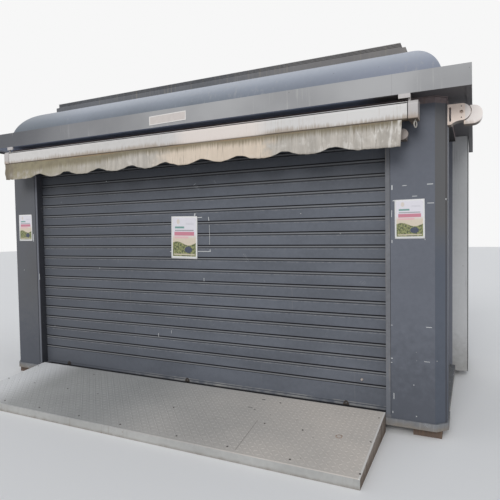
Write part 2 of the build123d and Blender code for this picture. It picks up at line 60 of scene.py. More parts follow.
class Graph:
    # a node tree, with plain names for the sums that masks are made of
    def __init__(self, tree):
        self.tree = tree

    def node(self, kind, inputs=None, **settings):
        made = self.tree.nodes.new(kind)
        for name, value in settings.items():
            setattr(made, name, value)
        for key, value in (inputs or {}).items():
            plug(self.tree, made.inputs[key], value)
        return made

    def calc(self, operation, a, b=0.0):
        return self.node("ShaderNodeMath", {0: a, 1: b}, operation=operation).outputs[0]

    def times(self, first, *others):
        for other in others:
            first = self.calc("MULTIPLY", first, other)
        return first

    def plus(self, first, *others):
        for other in others:
            first = self.calc("ADD", first, other)
        return first

    def minus(self, a, b):
        return self.calc("SUBTRACT", a, b)

    def over(self, a, b):
        return self.calc("DIVIDE", a, b)

    def apart(self, a, b):
        return self.calc("ABSOLUTE", self.minus(a, b))

    def swing(self, value, amount=1.0):
        # a noise moved to swing round zero
        return self.times(self.minus(value, 0.5), amount)

    def linear(self, value, low, high, atLow=0.0, atHigh=1.0):
        return self.node("ShaderNodeMapRange", {0: value, 1: low, 2: high, 3: atLow, 4: atHigh}).outputs[0]

    def ramp(self, value, low, high):
        inputs = {0: value, 1: low, 2: high}
        return self.node("ShaderNodeMapRange", inputs, interpolation_type="SMOOTHSTEP").outputs[0]

    def window(self, value, rise, fall):
        # up over one stretch and down again over another
        return self.times(self.ramp(value, *rise), self.ramp(value, *fall))

    def between(self, value, low, high, soft):
        return self.window(value, (low - soft, low + soft), (high + soft, high - soft))

    def separate(self, vector):
        return self.node("ShaderNodeSeparateXYZ", {0: vector}).outputs

    def combine(self, x=0.0, y=0.0, z=0.0):
        return self.node("ShaderNodeCombineXYZ", {0: x, 1: y, 2: z}).outputs[0]

    def vector(self, operation, a, b):
        node = self.node("ShaderNodeVectorMath", {0: a, 1: b}, operation=operation)
        return node.outputs["Vector" if operation == "MULTIPLY" else "Value"]

    def mapped(self, vector, scale=(1.0, 1.0, 1.0), turn=origin, shift=origin):
        inputs = {"Vector": vector, "Location": shift, "Rotation": turn, "Scale": scale}
        return self.node("ShaderNodeMapping", inputs).outputs[0]

    def texture(self, vector, scale, detail, roughness):
        inputs = {"Vector": vector, "Scale": scale, "Detail": detail, "Roughness": roughness}
        return self.node("ShaderNodeTexNoise", inputs).outputs["Fac"]

    def noise(self, vector, size, detail=4.0, roughness=0.55):
        # size is the width of one blotch in metres
        return self.texture(vector, 1.0 / size, detail, roughness)

    def streaks(self, vector, scale, detail, roughness=0.5, lean=0.0):
        # noise drawn out by a scale of its own along each axis
        return self.texture(self.mapped(vector, scale, (0.0, 0.0, lean)), 1.0, detail, roughness)

    def effect(self, group, **inputs):
        return self.node("ShaderNodeGroup", inputs, node_tree=group).outputs[0]

    def tint(self, mask, under, over):
        return self.node("ShaderNodeMix", {0: mask, 6: under, 7: over}, data_type="RGBA").outputs[2]


class Effect(Graph):
    # a node group with one result, a mask or a mesh
    socketKinds = {float: "Float", tuple: "Vector", type(None): "Material"}

    def __init__(self, name, defaults, family="Shader"):
        super().__init__(bpy.data.node_groups.new(name, family + "NodeTree"))
        shape = family == "Geometry"
        if shape:
            self.addSocket("Geometry", "INPUT", "Geometry")
        for label, value in defaults.items():
            socket = self.addSocket(label, "INPUT", self.socketKinds[type(value)])
            if value is not None:
                socket.default_value = value
        self.addSocket("Result", "OUTPUT", "Geometry" if shape else "Float")
        self.given = self.node("NodeGroupInput").outputs
        self.result = self.node("NodeGroupOutput").inputs[0]

    def addSocket(self, label, way, kind):
        return self.tree.interface.new_socket(label, in_out=way, socket_type="NodeSocket" + kind)

    def ended(self, value):
        self.tree.links.new(value, self.result)
        return self.tree


class Paint(Graph):
    # a finish built up in coats, each laid on where its masks allow
    def __init__(self, name):
        self.material = bpy.data.materials.new(name)
        self.material.use_nodes = True
        super().__init__(self.material.node_tree)
        self.coords = self.node("ShaderNodeTexCoord").outputs["Object"]
        self.places = self.separate(self.coords)

    def base(self, colour, darkest, lightest, mask):
        dark, light = ([part * level for part in colour] for level in (darkest, lightest))
        self.colour = self.tint(mask, dark, light)

    def coat(self, shade, *masks):
        self.colour = self.tint(self.times(*masks), self.colour, shade)

    def wear(self, inputs):
        shader = self.tree.nodes["Principled BSDF"]
        for label, value in inputs.items():
            plug(self.tree, shader.inputs[label], value)

    def finished(self, height, strength, depth, inputs):
        bump = self.node("ShaderNodeBump", {"Strength": strength, "Distance": depth, "Height": height})
        self.wear({"Base Color": self.colour, "Normal": bump.outputs[0], **inputs})
        return self.material


def newPiece(name, verts, faces, material, smooth=False):
    mesh = bpy.data.meshes.new(name)
    mesh.from_pydata([tuple(v) for v in verts], [], faces)
    mesh.materials.append(material)
    for face in mesh.polygons:
        face.use_smooth = smooth
    piece = bpy.data.objects.new(name, mesh)
    scene.collection.objects.link(piece)
    return piece


def finishMesh(piece, merge=0.00005):
    shape = bmesh.new()
    shape.from_mesh(piece.data)
    bmesh.ops.remove_doubles(shape, verts=shape.verts, dist=merge)
    bmesh.ops.recalc_face_normals(shape, faces=shape.faces)
    shape.to_mesh(piece.data)
    shape.free()
    return piece


def applied(piece):
    # the evaluated mesh takes the place of the live modifiers
    bpy.context.view_layer.update()
    evaluated = piece.evaluated_get(bpy.context.evaluated_depsgraph_get())
    mesh = bpy.data.meshes.new_from_object(evaluated)
    piece.modifiers.clear()
    piece.data = mesh
    return piece


def shaped(piece, tree, **values):
    modifier = piece.modifiers.new("shape", "NODES")
    modifier.node_group = tree
    for item in tree.interface.items_tree:
        if item.item_type == "SOCKET" and item.in_out == "INPUT" and item.name in values:
            modifier[item.identifier] = values[item.name]
    return applied(piece)


def thinSheet(name, verts, faces, uvs, material, uvName, gauge, offset=0.0):
    # cloth or paper: a smooth face with its own UV map, given a thickness
    piece = newPiece(name, verts, faces, material, smooth=True)
    layer = piece.data.uv_layers.new(name=uvName)
    for loop in piece.data.loops:
        layer.data[loop.index].uv = uvs[loop.vertex_index]
    thicken = piece.modifiers.new("gauge", "SOLIDIFY")
    thicken.thickness = gauge
    thicken.offset = offset
    return applied(piece)


def gridFaces(lines, points, turned=False):
    # the squares between lines + 1 lines of points + 1 points each
    faces = []
    for line in range(lines):
        for point in range(points):
            a = line * (points + 1) + point
            b = a + points + 1
            faces.append((a, a + 1, b + 1, b) if turned else (a, b, b + 1, a + 1))
    return faces


def ringFaces(rings, sides):
    faces = []
    for ring in range(rings - 1):
        a, b = ring * sides, (ring + 1) * sides
        for side in range(sides):
            after = (side + 1) % sides
            faces.append((a + side, a + after, b + after, b + side))
    return faces


def rideOn(piece):
    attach(piece, "root")
    return piece


# camera, floor and light

cameraLook = {"place": (2.413, -4.578, 1.541), "turn": 25.55, "tilt": -2.14, "roll": -0.90, "lens": 33.75}

cameraData = bpy.data.cameras.new("photoCamera")
cameraData.lens = cameraLook["lens"]
cameraObject = bpy.data.objects.new("photoCamera", cameraData)
scene.collection.objects.link(cameraObject)
cameraObject.matrix_world = (
    Matrix.Translation(cameraLook["place"])
    @ Matrix.Rotation(math.radians(cameraLook["turn"]), 4, "Z")
    @ Matrix.Rotation(math.radians(90.0 + cameraLook["tilt"]), 4, "X")
    @ Matrix.Rotation(math.radians(cameraLook["roll"]), 4, "Z")
)
scene.camera = cameraObject
scene.view_settings.view_transform = "Standard"

studio = {
    "ambient": (0.60, 0.62, 0.65), "ambientLevel": 0.90, "backdrop": (0.93, 0.93, 0.93),
    "keyTurn": (62.0, 0.0, 2.0), "keyLevel": 1.55, "keySpread": 28.0,
    "floor": (0.80, 0.80, 0.80), "floorRough": 0.9, "floorHalf": 40.0,
}

world = bpy.data.worlds.new("studioLight")
scene.world = world
world.use_nodes = True
world.node_tree.nodes.clear()
sky = Graph(world.node_tree)
ray = sky.node("ShaderNodeLightPath").outputs
seen = sky.calc("MAXIMUM", ray["Is Camera Ray"], ray["Is Glossy Ray"])
seen = sky.calc("MAXIMUM", seen, ray["Is Transmission Ray"])
ambient = sky.node("ShaderNodeBackground", {"Color": studio["ambient"], "Strength": studio["ambientLevel"]})
backdrop = sky.node("ShaderNodeBackground", {"Color": studio["backdrop"]})
pick = sky.node("ShaderNodeMixShader", {0: seen, 1: ambient.outputs[0], 2: backdrop.outputs[0]})
sky.node("ShaderNodeOutputWorld", {"Surface": pick.outputs[0]})

keyData = bpy.data.lights.new("softKey", "SUN")
keyData.energy = studio["keyLevel"]
keyData.angle = math.radians(studio["keySpread"])
keyLight = bpy.data.objects.new("softKey", keyData)
keyLight.rotation_euler = [math.radians(turn) for turn in studio["keyTurn"]]
scene.collection.objects.link(keyLight)

floorFinish = Paint("studioFloor")
floorFinish.wear({"Base Color": studio["floor"], "Roughness": studio["floorRough"]})
half = studio["floorHalf"]
corners = [(-half, -half, 0), (half, -half, 0), (half, half, 0), (-half, half, 0)]
studioFloor = newPiece("studioFloor", corners, [(0, 1, 2, 3)], floorFinish.material)
print("camera, floor and light set")


def rainRunsGroup():
    # fine runs of rain dirt down an upright surface, in patches
    net = Effect("rainRuns", {"Vector": origin, "Width": 0.02, "Cover": 0.5})
    place = net.given["Vector"]
    perWidth = net.over(1.0, net.given["Width"])
    runNoise = net.streaks(place, net.combine(perWidth, perWidth, net.times(perWidth, 0.035)), 5.0, 0.6)
    spread = net.plus(runNoise, net.swing(net.noise(place, 0.55, 3.0), 0.5))
    low = net.minus(0.80, net.times(net.given["Cover"], 0.40))
    return net.ended(net.ramp(spread, low, net.plus(low, 0.16)))


def levelDirtGroup():
    # dust or splashed dirt that thins out between two levels
    net = Effect("levelDirt", {"Vector": origin, "Full": 0.1, "Gone": 0.5, "Grain": 0.05})
    place = net.given["Vector"]
    level = net.linear(net.separate(place)["Z"], net.given["Gone"], net.given["Full"])
    grain = net.texture(place, net.over(1.0, net.given["Grain"]), 6.0, 0.62)
    return net.ended(net.ramp(net.plus(level, net.swing(grain)), 0.15, 1.05))


def dripsGroup():
    # stain that has run down in drips: solid at one level, gone at another
    net = Effect("drips", {"Vector": origin, "Full": 0.1, "Gone": 0.5, "Width": 0.012})
    place = net.given["Vector"]
    level = net.linear(net.separate(place)["Z"], net.given["Gone"], net.given["Full"])
    perDrip = net.over(1.0, net.given["Width"])
    dripNoise = net.streaks(place, net.combine(perDrip, perDrip, net.times(perDrip, 0.08)), 5.0, 0.65)
    reach = net.plus(level, net.swing(dripNoise, 1.3), net.swing(net.noise(place, 0.25, 3.0)))
    return net.ended(net.ramp(reach, 0.25, 0.95))


def fineScratchesGroup():
    # thin bare scratches, in two leaning directions, only where a broad noise allows them
    net = Effect("fineScratches", {"Vector": origin, "Length": 0.15, "Cover": 0.5})
    perLength = net.over(1.0, net.given["Length"])
    scale = net.combine(net.times(perLength, 30.0), perLength, perLength)
    edge = net.minus(0.85, net.times(net.given["Cover"], 0.35))
    layers = []
    for lean, shift in ((0.5, 0.0), (-0.9, 3.7)):
        turned = net.mapped(net.given["Vector"], turn=(0.0, lean, 0.0), shift=(shift, shift, shift))
        longer = net.vector("MULTIPLY", turned, scale)
        cells = net.node("ShaderNodeTexVoronoi", {"Vector": longer, "Scale": 0.6}, feature="DISTANCE_TO_EDGE")
        line = net.ramp(cells.outputs["Distance"], 0.030, 0.010)
        allowed = net.linear(net.noise(turned, 0.16, 2.0), edge, net.plus(edge, 0.06))
        layers.append(net.times(line, allowed))
    return net.ended(net.calc("MAXIMUM", *layers))


def spotsGroup():
    # small scattered spots, such as chips, droppings or rust points
    net = Effect("spots", {"Vector": origin, "Spacing": 0.12, "Radius": 0.1, "Share": 0.3})
    place = net.given["Vector"]
    cells = net.node("ShaderNodeTexVoronoi", {"Vector": place, "Scale": net.over(1.0, net.given["Spacing"])})
    reach = net.plus(cells.outputs["Distance"], net.swing(net.noise(place, 0.012, 2.0), 0.08))
    chance = net.node("ShaderNodeSeparateColor", {0: cells.outputs["Color"]}).outputs
    chosen = net.calc("LESS_THAN", chance[0], net.given["Share"])
    radius = net.times(net.given["Radius"], net.plus(0.4, chance[1]))
    return net.ended(net.times(net.linear(reach, radius, net.times(radius, 0.7)), chosen))


def facingGroup():
    # the share of a surface that faces one way: up, down, or a wall's room side
    net = Effect("facing", {"Way": up})
    normal = net.node("ShaderNodeNewGeometry").outputs["Normal"]
    return net.ended(net.linear(net.vector("DOT_PRODUCT", normal, net.given["Way"]), 0.55, 0.85))


def weaveGroup():
    # woven threads from the cloth's own UV map, in metres
    net = Effect("weave", {"Vector": origin, "Thread": 0.0012})
    threads = net.separate(net.given["Vector"])
    turns = net.over(2 * math.pi, net.given["Thread"])
    warp, weft = (net.calc("SINE", net.times(threads[axis], turns)) for axis in "XY")
    return net.ended(net.times(warp, weft))


rainRuns = rainRunsGroup()
levelDirt = levelDirtGroup()
drips = dripsGroup()
fineScratches = fineScratchesGroup()
spots = spotsGroup()
facing = facingGroup()
weave = weaveGroup()
print("shared effects built")


def band(shade, amount, **limits):
    # a soft-edged patch: two levels and a softness for one axis or more
    return shade, amount, limits


# each finish: a colour and how far it wanders, then the dirt, runs, scratches and spots over it
finishes = {
    "slatePaint": dict(
        colour=(0.13, 0.139, 0.164), wander=0.09, rough=0.58, gloss=0.15, endShift=(-1.6, -1.8),
        endShiftColour=(0.1, 0.1, 0.103), endShiftAmount=1.0, runs=(0.03, 0.35), runColour=(0.2, 0.205, 0.215),
        runAmount=0.3, dirtLevels=(0.2, 1.15), dirtColour=(0.082, 0.088, 0.104), dirtAmount=0.85,
        bands=[
            # painted shading on the outer front corner of the right column: warm grey above, darker blue-grey
            # below
            band((0.122, 0.119, 0.116), 0.8, x=(2.16, 9.0, 0.001), y=(-1.0, -0.868, 0.002),
                 z=(1.45, 2.46, 0.2)),
            band((0.086, 0.1, 0.128), 0.6, x=(2.16, 9.0, 0.001), y=(-1.0, -0.868, 0.002),
                 z=(-1.0, 1.45, 0.2)),
            band((0.045, 0.038, 0.036), 0.75, x=(2.227, 2.233, 0.001), y=(-1.0, -0.6, 0.01)),
        ],
        scratchColour=(0.36, 0.38, 0.41), scratchCover=0.22, spotColour=(0.42, 0.42, 0.41), spotShare=0.1),
    # fascia: painted sunlight, lighter towards the right end; the soffit behind it is painted the dark navy
    # of its shade
    "eavePaint": dict(
        colour=(0.115, 0.117, 0.126), wander=0.08, endShift=(-1.9, -0.1), endShiftColour=(0.39, 0.388, 0.39),
        endShiftAmount=1.0, rough=0.55, gloss=0.2, runs=(0.022, 0.5), runColour=(0.46, 0.455, 0.44),
        runAmount=0.45, scratchColour=(0.45, 0.46, 0.48), scratchCover=0.12, spotColour=(0.16, 0.16, 0.15),
        spotShare=0.12, seamX=1.892, seamDepth=0.25, upColour=(0.2, 0.19, 0.17),
        undersideShade=(0.085, 0.08, 0.085),
        bands=[
            band((0.19, 0.225, 0.32), 1.0, x=(-2.35, 1.7, 0.12), y=(-1.151, -0.9, 0.001),
                 z=(2.4, 2.4985, 0.001)),
        ]),
    # the roof is paler towards its crown: a painted highlight
    "roofPaint": dict(
        colour=(0.14, 0.161, 0.19), wander=0.14, rough=0.45, endShift=(0.3, 2.0),
        endShiftColour=(0.235, 0.255, 0.325), endShiftAmount=0.8, lift=(2.66, 2.95),
        liftColour=(0.385, 0.415, 0.475), liftAmount=0.9,
        bands=[
            band((0.105, 0.122, 0.138), 0.5, x=(-9.0, -1.65, 0.45), y=(-9.0, -0.3, 0.3)),
        ],
        runs=(0.03, 0.55), runColour=(0.34, 0.34, 0.34), runAmount=0.35, spotColour=(0.12, 0.12, 0.11),
        spotShare=0.22, upColour=(0.335, 0.345, 0.365)),
    "deckSheet": dict(
        colour=(0.118, 0.121, 0.13), wander=0.2, rough=0.7, endShift=(0.2, 2.0),
        endShiftColour=(0.27, 0.245, 0.225), endShiftAmount=0.8, runs=(0.02, 0.6), runColour=(0.24, 0.22, 0.19),
        runAmount=0.6, spotColour=(0.3, 0.26, 0.2), spotShare=0.25, upColour=(0.21, 0.205, 0.19)),
    "rustyBeam": dict(
        colour=(0.225, 0.18, 0.182), wander=0.3, rough=0.7, runs=(0.015, 0.7),
        runColour=(0.205, 0.15, 0.128), runAmount=0.6, spotColour=(0.15, 0.075, 0.04), spotShare=0.35,
        undersideShade=(0.03, 0.028, 0.028)),
    "wornShoe": dict(
        colour=(0.165, 0.172, 0.185), wander=0.25, rough=0.6, runs=(0.02, 0.6), runColour=(0.3, 0.3, 0.29),
        runAmount=0.6, dirtLevels=(0.05, 0.14), dirtColour=(0.215, 0.185, 0.15), dirtAmount=0.8,
        scratchColour=(0.42, 0.43, 0.44), scratchCover=0.8, spotColour=(0.17, 0.1, 0.06), spotShare=0.3),
    "brownSteel": dict(
        colour=(0.085, 0.06, 0.046), wander=0.45, rough=0.8, runs=(0.015, 0.7),
        runColour=(0.16, 0.1, 0.065), runAmount=0.7, dirtLevels=(0.0, 0.08), dirtColour=(0.135, 0.1, 0.082),
        dirtAmount=0.7, spotColour=(0.2, 0.11, 0.06), spotShare=0.4),
    "floorPaint": dict(
        colour=(0.15, 0.15, 0.15), wander=0.2, rough=0.6, spotColour=(0.22, 0.2, 0.18), spotShare=0.2,
        upColour=(0.42, 0.42, 0.4), gapY=-0.872, gapX=(-0.019, 1.826)),
    "guidePaint": dict(
        colour=(0.155, 0.158, 0.17), wander=0.2, rough=0.6, gloss=0.15, endShift=(-1.5, -1.85),
        endShiftColour=(0.14, 0.145, 0.168), endShiftAmount=1.0,
        bands=[
            # painted shade: thin dark lines at the edges of the left guide
            band((0.012, 0.012, 0.015), 0.8, x=(-1.914, -1.91, 0.0008)),
            band((0.012, 0.012, 0.015), 0.6, x=(-1.886, -1.878, 0.0008)),
        ],
        runs=(0.012, 0.6), runColour=(0.24, 0.215, 0.19), runAmount=0.5, dirtLevels=(0.14, 0.8),
        dirtColour=(0.118, 0.127, 0.146), dirtAmount=0.8, scratchColour=(0.42, 0.42, 0.42),
        scratchCover=0.6, spotColour=(0.35, 0.34, 0.32), spotShare=0.15),
    "cabinetGrey": dict(
        colour=(0.56, 0.56, 0.56), wander=0.06, rough=0.55, gloss=0.2, runs=(0.014, 0.55),
        runColour=(0.26, 0.25, 0.235), runAmount=0.4, dirtLevels=(0.08, 0.6), dirtColour=(0.3, 0.29, 0.275),
        dirtAmount=0.7,
        bands=[
            # painted shade: a dark line along the outer edge of the front
            band((0.035, 0.035, 0.04), 0.9, x=(2.352, 2.362, 0.001), y=(0.74, 0.755, 0.002)),
            band((0.2, 0.208, 0.24), 1.0, x=(2.1, 2.211, 0.0015), y=(0.74, 0.755, 0.002)),
        ],
        scratchColour=(0.5, 0.5, 0.5), scratchCover=0.25, spotColour=(0.2, 0.18, 0.15), spotShare=0.3),
    # the bar grows lighter towards the right: painted sunlight
    "awningBar": dict(
        colour=(0.56, 0.54, 0.52), wander=0.09, rough=0.42, endShift=(-1.0, 1.4),
        endShiftColour=(0.61, 0.595, 0.58), endShiftAmount=1.0, runs=(0.01, 0.55), runColour=(0.4, 0.34, 0.28),
        runAmount=0.4, dripLevels=(2.3, 2.368), dripColour=(0.3, 0.235, 0.175), dripAmount=0.75,
        dripWidth=0.01,
        bands=[
            # painted sunlight: a warm pale patch across the middle of the bar
            band((0.7, 0.625, 0.575), 0.85, x=(0.12, 0.9, 0.1)),
            # painted shade: the slot under the top lip
            band((0.075, 0.065, 0.07), 0.85, z=(2.413, 2.422, 0.0008)),
            band((0.085, 0.06, 0.035), 0.75, z=(2.29, 2.3075, 0.0012)),
        ],
        seamX=0.771, spotColour=(0.3, 0.21, 0.14), spotShare=0.2, undersideShade=(0.16, 0.13, 0.1)),
    "awningBlock": dict(
        colour=(0.465, 0.44, 0.43), wander=0.1, rough=0.42, runs=(0.01, 0.5), runColour=(0.38, 0.31, 0.25),
        runAmount=0.4, dripLevels=(2.3, 2.375), dripColour=(0.33, 0.245, 0.18), dripAmount=0.7,
        scratchColour=(0.3, 0.25, 0.2), scratchCover=0.2, spotColour=(0.26, 0.17, 0.11), spotShare=0.35,
        undersideShade=(0.11, 0.085, 0.065)),
    "bracketCream": dict(
        colour=(0.92, 0.77, 0.67), wander=0.06, rough=0.42, endShift=(2.352, 2.358),
        endShiftColour=(0.74, 0.72, 0.71), endShiftAmount=1.0, runs=(0.01, 0.5), runColour=(0.56, 0.43, 0.34),
        runAmount=0.45, dripLevels=(2.28, 2.33), dripColour=(0.36, 0.26, 0.19), dripAmount=0.5,
        scratchColour=(0.3, 0.24, 0.19), scratchCover=0.25, spotColour=(0.22, 0.13, 0.08), spotShare=0.45,
        undersideShade=(0.13, 0.1, 0.08)),
    "ringSteel": dict(
        colour=(0.5, 0.47, 0.42), wander=0.25, rough=0.45, spotColour=(0.22, 0.13, 0.08), spotShare=0.6),
    "armGrey": dict(
        colour=(0.36, 0.315, 0.29), wander=0.15, rough=0.5, runs=(0.01, 0.6), runColour=(0.24, 0.18, 0.13),
        runAmount=0.6, spotColour=(0.2, 0.13, 0.09), spotShare=0.4, undersideShade=(0.1, 0.08, 0.065)),
    "rampSteel": dict(
        colour=(0.35, 0.352, 0.346), wander=0.1, endShift=(-0.4, 1.6), endShiftColour=(0.625, 0.57, 0.515),
        endShiftAmount=0.95, rough=0.6, metallic=0.1, rimX=(-0.019, 1.8165), rimColour=(0.66, 0.64, 0.61),
        bands=[
            band((0.69, 0.695, 0.7), 0.95, x=(-9.0, -1.45, 0.25)),
            band((0.055, 0.055, 0.055), 0.9, x=(0.816, 0.844, 0.004), y=(-1.051, -1.039, 0.004)),
            band((0.055, 0.055, 0.055), 0.7, x=(0.764, 0.804, 0.004), y=(-1.218, -1.206, 0.004)),
            band((0.055, 0.055, 0.055), 0.7, x=(0.826, 0.842, 0.003), y=(-1.24, -1.228, 0.003)),
        ],
        ringAt=(1.566, -1.415, 0.11), ringRadius=0.021, scoreEnds=(0.931, -1.387, 0.958, -1.815),
        runs=(0.06, 0.35), runColour=(0.27, 0.25, 0.22), runAmount=0.4, scratchColour=(0.47, 0.47, 0.47),
        scratchCover=0.45, spotColour=(0.17, 0.14, 0.12), spotShare=0.12),
    "rampEdge": dict(
        colour=(0.4, 0.398, 0.385), wander=0.12, rough=0.5, metallic=0.2, runs=(0.02, 0.45),
        runColour=(0.22, 0.19, 0.155), runAmount=0.5, dirtLevels=(-0.01, 0.035),
        dirtColour=(0.17, 0.14, 0.11), dirtAmount=0.7, scratchColour=(0.5, 0.5, 0.5), scratchCover=0.5,
        spotColour=(0.2, 0.13, 0.09), spotShare=0.25),
    "rampSideRust": dict(
        colour=(0.3, 0.255, 0.22), wander=0.3, rough=0.62, metallic=0.1, runs=(0.012, 0.8),
        runColour=(0.105, 0.07, 0.052), runAmount=0.85, dirtLevels=(0.0, 0.12),
        dirtColour=(0.12, 0.085, 0.06), dirtAmount=0.8, spotColour=(0.16, 0.08, 0.045), spotShare=0.45),
    "screwDark": dict(
        colour=(0.065, 0.055, 0.048), wander=0.3, rough=0.55, metallic=0.4, spotColour=(0.16, 0.08, 0.045),
        spotShare=0.5),
    "plateCream": dict(
        colour=(0.56, 0.51, 0.48), wander=0.1, rough=0.45, runs=(0.012, 0.5), runColour=(0.4, 0.34, 0.3),
        runAmount=0.4, spotColour=(0.34, 0.28, 0.24), spotShare=0.3),
    "plateRim": dict(
        colour=(0.72, 0.69, 0.66), wander=0.08, rough=0.4, spotColour=(0.4, 0.33, 0.28), spotShare=0.2),
    "oldTape": dict(
        colour=(0.56, 0.57, 0.57), wander=0.15, rough=0.5, spotColour=(0.36, 0.35, 0.33), spotShare=0.3),
}

liningColour = (0.52, 0.52, 0.50)

# what all sheet metal shares: widths in metres, from and to for each mask, then how much it shows
metalWear = dict(
    blotch=0.9, grain=0.035, spread=(0.32, 0.68), roughSwing=0.12, up=(0.25, 0.6), uneven=(0.3, 0.7),
    frontColour=(0.13, 0.13, 0.14), frontSoft=0.004, gapColour=(0.010, 0.010, 0.012), gapEdge=0.01,
    dirtGrain=0.06, dirtDulls=0.25, dripWidth=0.012, dripDulls=0.2,
    ring=(0.007, 0.002), ringPatches=(0.25, 0.55), ringColour=(0.27, 0.14, 0.075), ringAmount=0.8,
    score=(0.004, 0.002), scoreColour=(0.12, 0.10, 0.09), scoreAmount=0.5,
    rimWidth=0.004, rimPatches=(0.15, 0.45),
    seam=(0.0016, 0.0008), seamColour=(0.05, 0.05, 0.05), seamDepth=0.7,
    scratchLength=0.12, scratchAmount=0.7, spotSpacing=0.07, spotRadius=0.07, spotAmount=0.75,
    metallic=0.0, gloss=0.30, bump=0.12, bumpDepth=0.002,
)


def addMarks(paint, look):
    # scratches and spots lie over everything else
    if "scratchColour" in look:
        length, cover = look["scratchLength"], look["scratchCover"]
        scratched = paint.effect(fineScratches, Vector=paint.coords, Length=length, Cover=cover)
        paint.coat(look["scratchColour"], scratched, look["scratchAmount"])
    spacing, radius, share = look["spotSpacing"], look["spotRadius"], look["spotShare"]
    spotted = paint.effect(spots, Vector=paint.coords, Spacing=spacing, Radius=radius, Share=share)
    paint.coat(look["spotColour"], spotted, look["spotAmount"])


def sheetMetal(name, look, liningWay=None):
    look = {**metalWear, **look}
    paint = Paint(name)
    coords = paint.coords
    x, y, z = (paint.places[axis] for axis in "XYZ")
    wide = paint.noise(coords, look["blotch"], 3.0)
    fine = paint.noise(coords, look["grain"], 6.0, 0.65)
    spread = paint.ramp(paint.plus(paint.times(wide, 0.65), paint.times(fine, 0.35)), *look["spread"])
    paint.base(look["colour"], 1.0 - look["wander"], 1.0 + look["wander"], spread)
    rough = paint.plus(look["rough"] - look["roughSwing"] / 2, paint.times(fine, look["roughSwing"]))
    if "upColour" in look:
        paint.coat(look["upColour"], paint.effect(facing, Way=up), paint.ramp(fine, *look["up"]))
    if "endShift" in look:
        # towards one end: bleached or dusted on most parts; on the fascia and the awning bar, painted
        # sunlight that grows lighter towards the right
        uneven = paint.plus(0.6, paint.times(paint.ramp(wide, *look["uneven"]), 0.4))
        paint.coat(look["endShiftColour"], paint.linear(x, *look["endShift"]), uneven, look["endShiftAmount"])
    if "lift" in look:
        # painted highlight: paler towards the crown
        paint.coat(look["liftColour"], paint.ramp(z, *look["lift"]), look["liftAmount"])
    if "gapY" in look:
        # painted shade with some grime: the floor goes black in the gap in front of the shutter's foot
        middle, reach = look["gapX"]
        front = paint.ramp(y, look["gapY"], look["gapY"] - look["frontSoft"])
        under = paint.ramp(paint.apart(x, middle), reach, reach - look["gapEdge"])
        paint.coat(look["frontColour"], front)
        paint.coat(look["gapColour"], front, under)
    if "runs" in look:
        width, cover = look["runs"]
        runs = paint.effect(rainRuns, Vector=coords, Width=width, Cover=cover)
        paint.coat(look["runColour"], runs, look["runAmount"])
    if "dirtLevels" in look:
        full, gone = look["dirtLevels"]
        dirt = paint.effect(levelDirt, Vector=coords, Full=full, Gone=gone, Grain=look["dirtGrain"])
        paint.coat(look["dirtColour"], dirt, look["dirtAmount"])
        rough = paint.plus(rough, paint.times(dirt, look["dirtDulls"]))
    if "dripLevels" in look:
        full, gone = look["dripLevels"]
        dripped = paint.effect(drips, Vector=coords, Full=full, Gone=gone, Width=look["dripWidth"])
        paint.coat(look["dripColour"], dripped, look["dripAmount"])
        rough = paint.plus(rough, paint.times(dripped, look["dripDulls"]))
    if "ringAt" in look:
        # a rust ring
        off = paint.apart(paint.vector("DISTANCE", coords, look["ringAt"]), look["ringRadius"])
        patches = paint.ramp(fine, *look["ringPatches"])
        paint.coat(look["ringColour"], paint.ramp(off, *look["ring"]), patches, look["ringAmount"])
    if "scoreEnds" in look:
        # one long dark scratch
        startX, startY, endX, endY = look["scoreEnds"]
        beside = paint.apart(x, paint.linear(y, startY, endY, startX, endX))
        within = paint.times(paint.calc("LESS_THAN", y, startY), paint.calc("GREATER_THAN", y, endY))
        paint.coat(look["scoreColour"], paint.ramp(beside, *look["score"]), within, look["scoreAmount"])
    if "rimX" in look:
        # the edge of the plate is rubbed bright
        middle, reach = look["rimX"]
        edge = paint.ramp(paint.apart(x, middle), reach - look["rimWidth"], reach)
        paint.coat(look["rimColour"], edge, paint.ramp(fine, *look["rimPatches"]))
    if "seamX" in look:
        # butt joint between two lengths
        seam = paint.ramp(paint.apart(x, look["seamX"]), *look["seam"])
        paint.coat(look["seamColour"], seam, look["seamDepth"])
    # painted shade: faces that look down are darkened as though shadowed
    if "undersideShade" in look:
        paint.coat(look["undersideShade"], paint.effect(facing, Way=down))
    for shade, amount, limits in look.get("bands", ()):
        masks = [paint.between(paint.places[axis.upper()], *limit) for axis, limit in limits.items()]
        paint.coat(shade, *masks, amount)
    addMarks(paint, look)
    if liningWay:
        paint.coat(liningColour, paint.effect(facing, Way=liningWay))
    return paint.finished(fine, look["bump"], look["bumpDepth"], {
        "Roughness": rough, "Metallic": look["metallic"], "Specular IOR Level": look["gloss"]})


metals = {name: sheetMetal(name, look) for name, look in finishes.items()}
# walls are painted outside and lined on the side that faces the room
roomSides = {
    "leftWallPaint": (1.0, 0.0, 0.0), "rightWallPaint": (-1.0, 0.0, 0.0), "rearWallPaint": (0.0, -1.0, 0.0),
}
for name, way in roomSides.items():
    metals[name] = sheetMetal(name, finishes["slatePaint"], way)
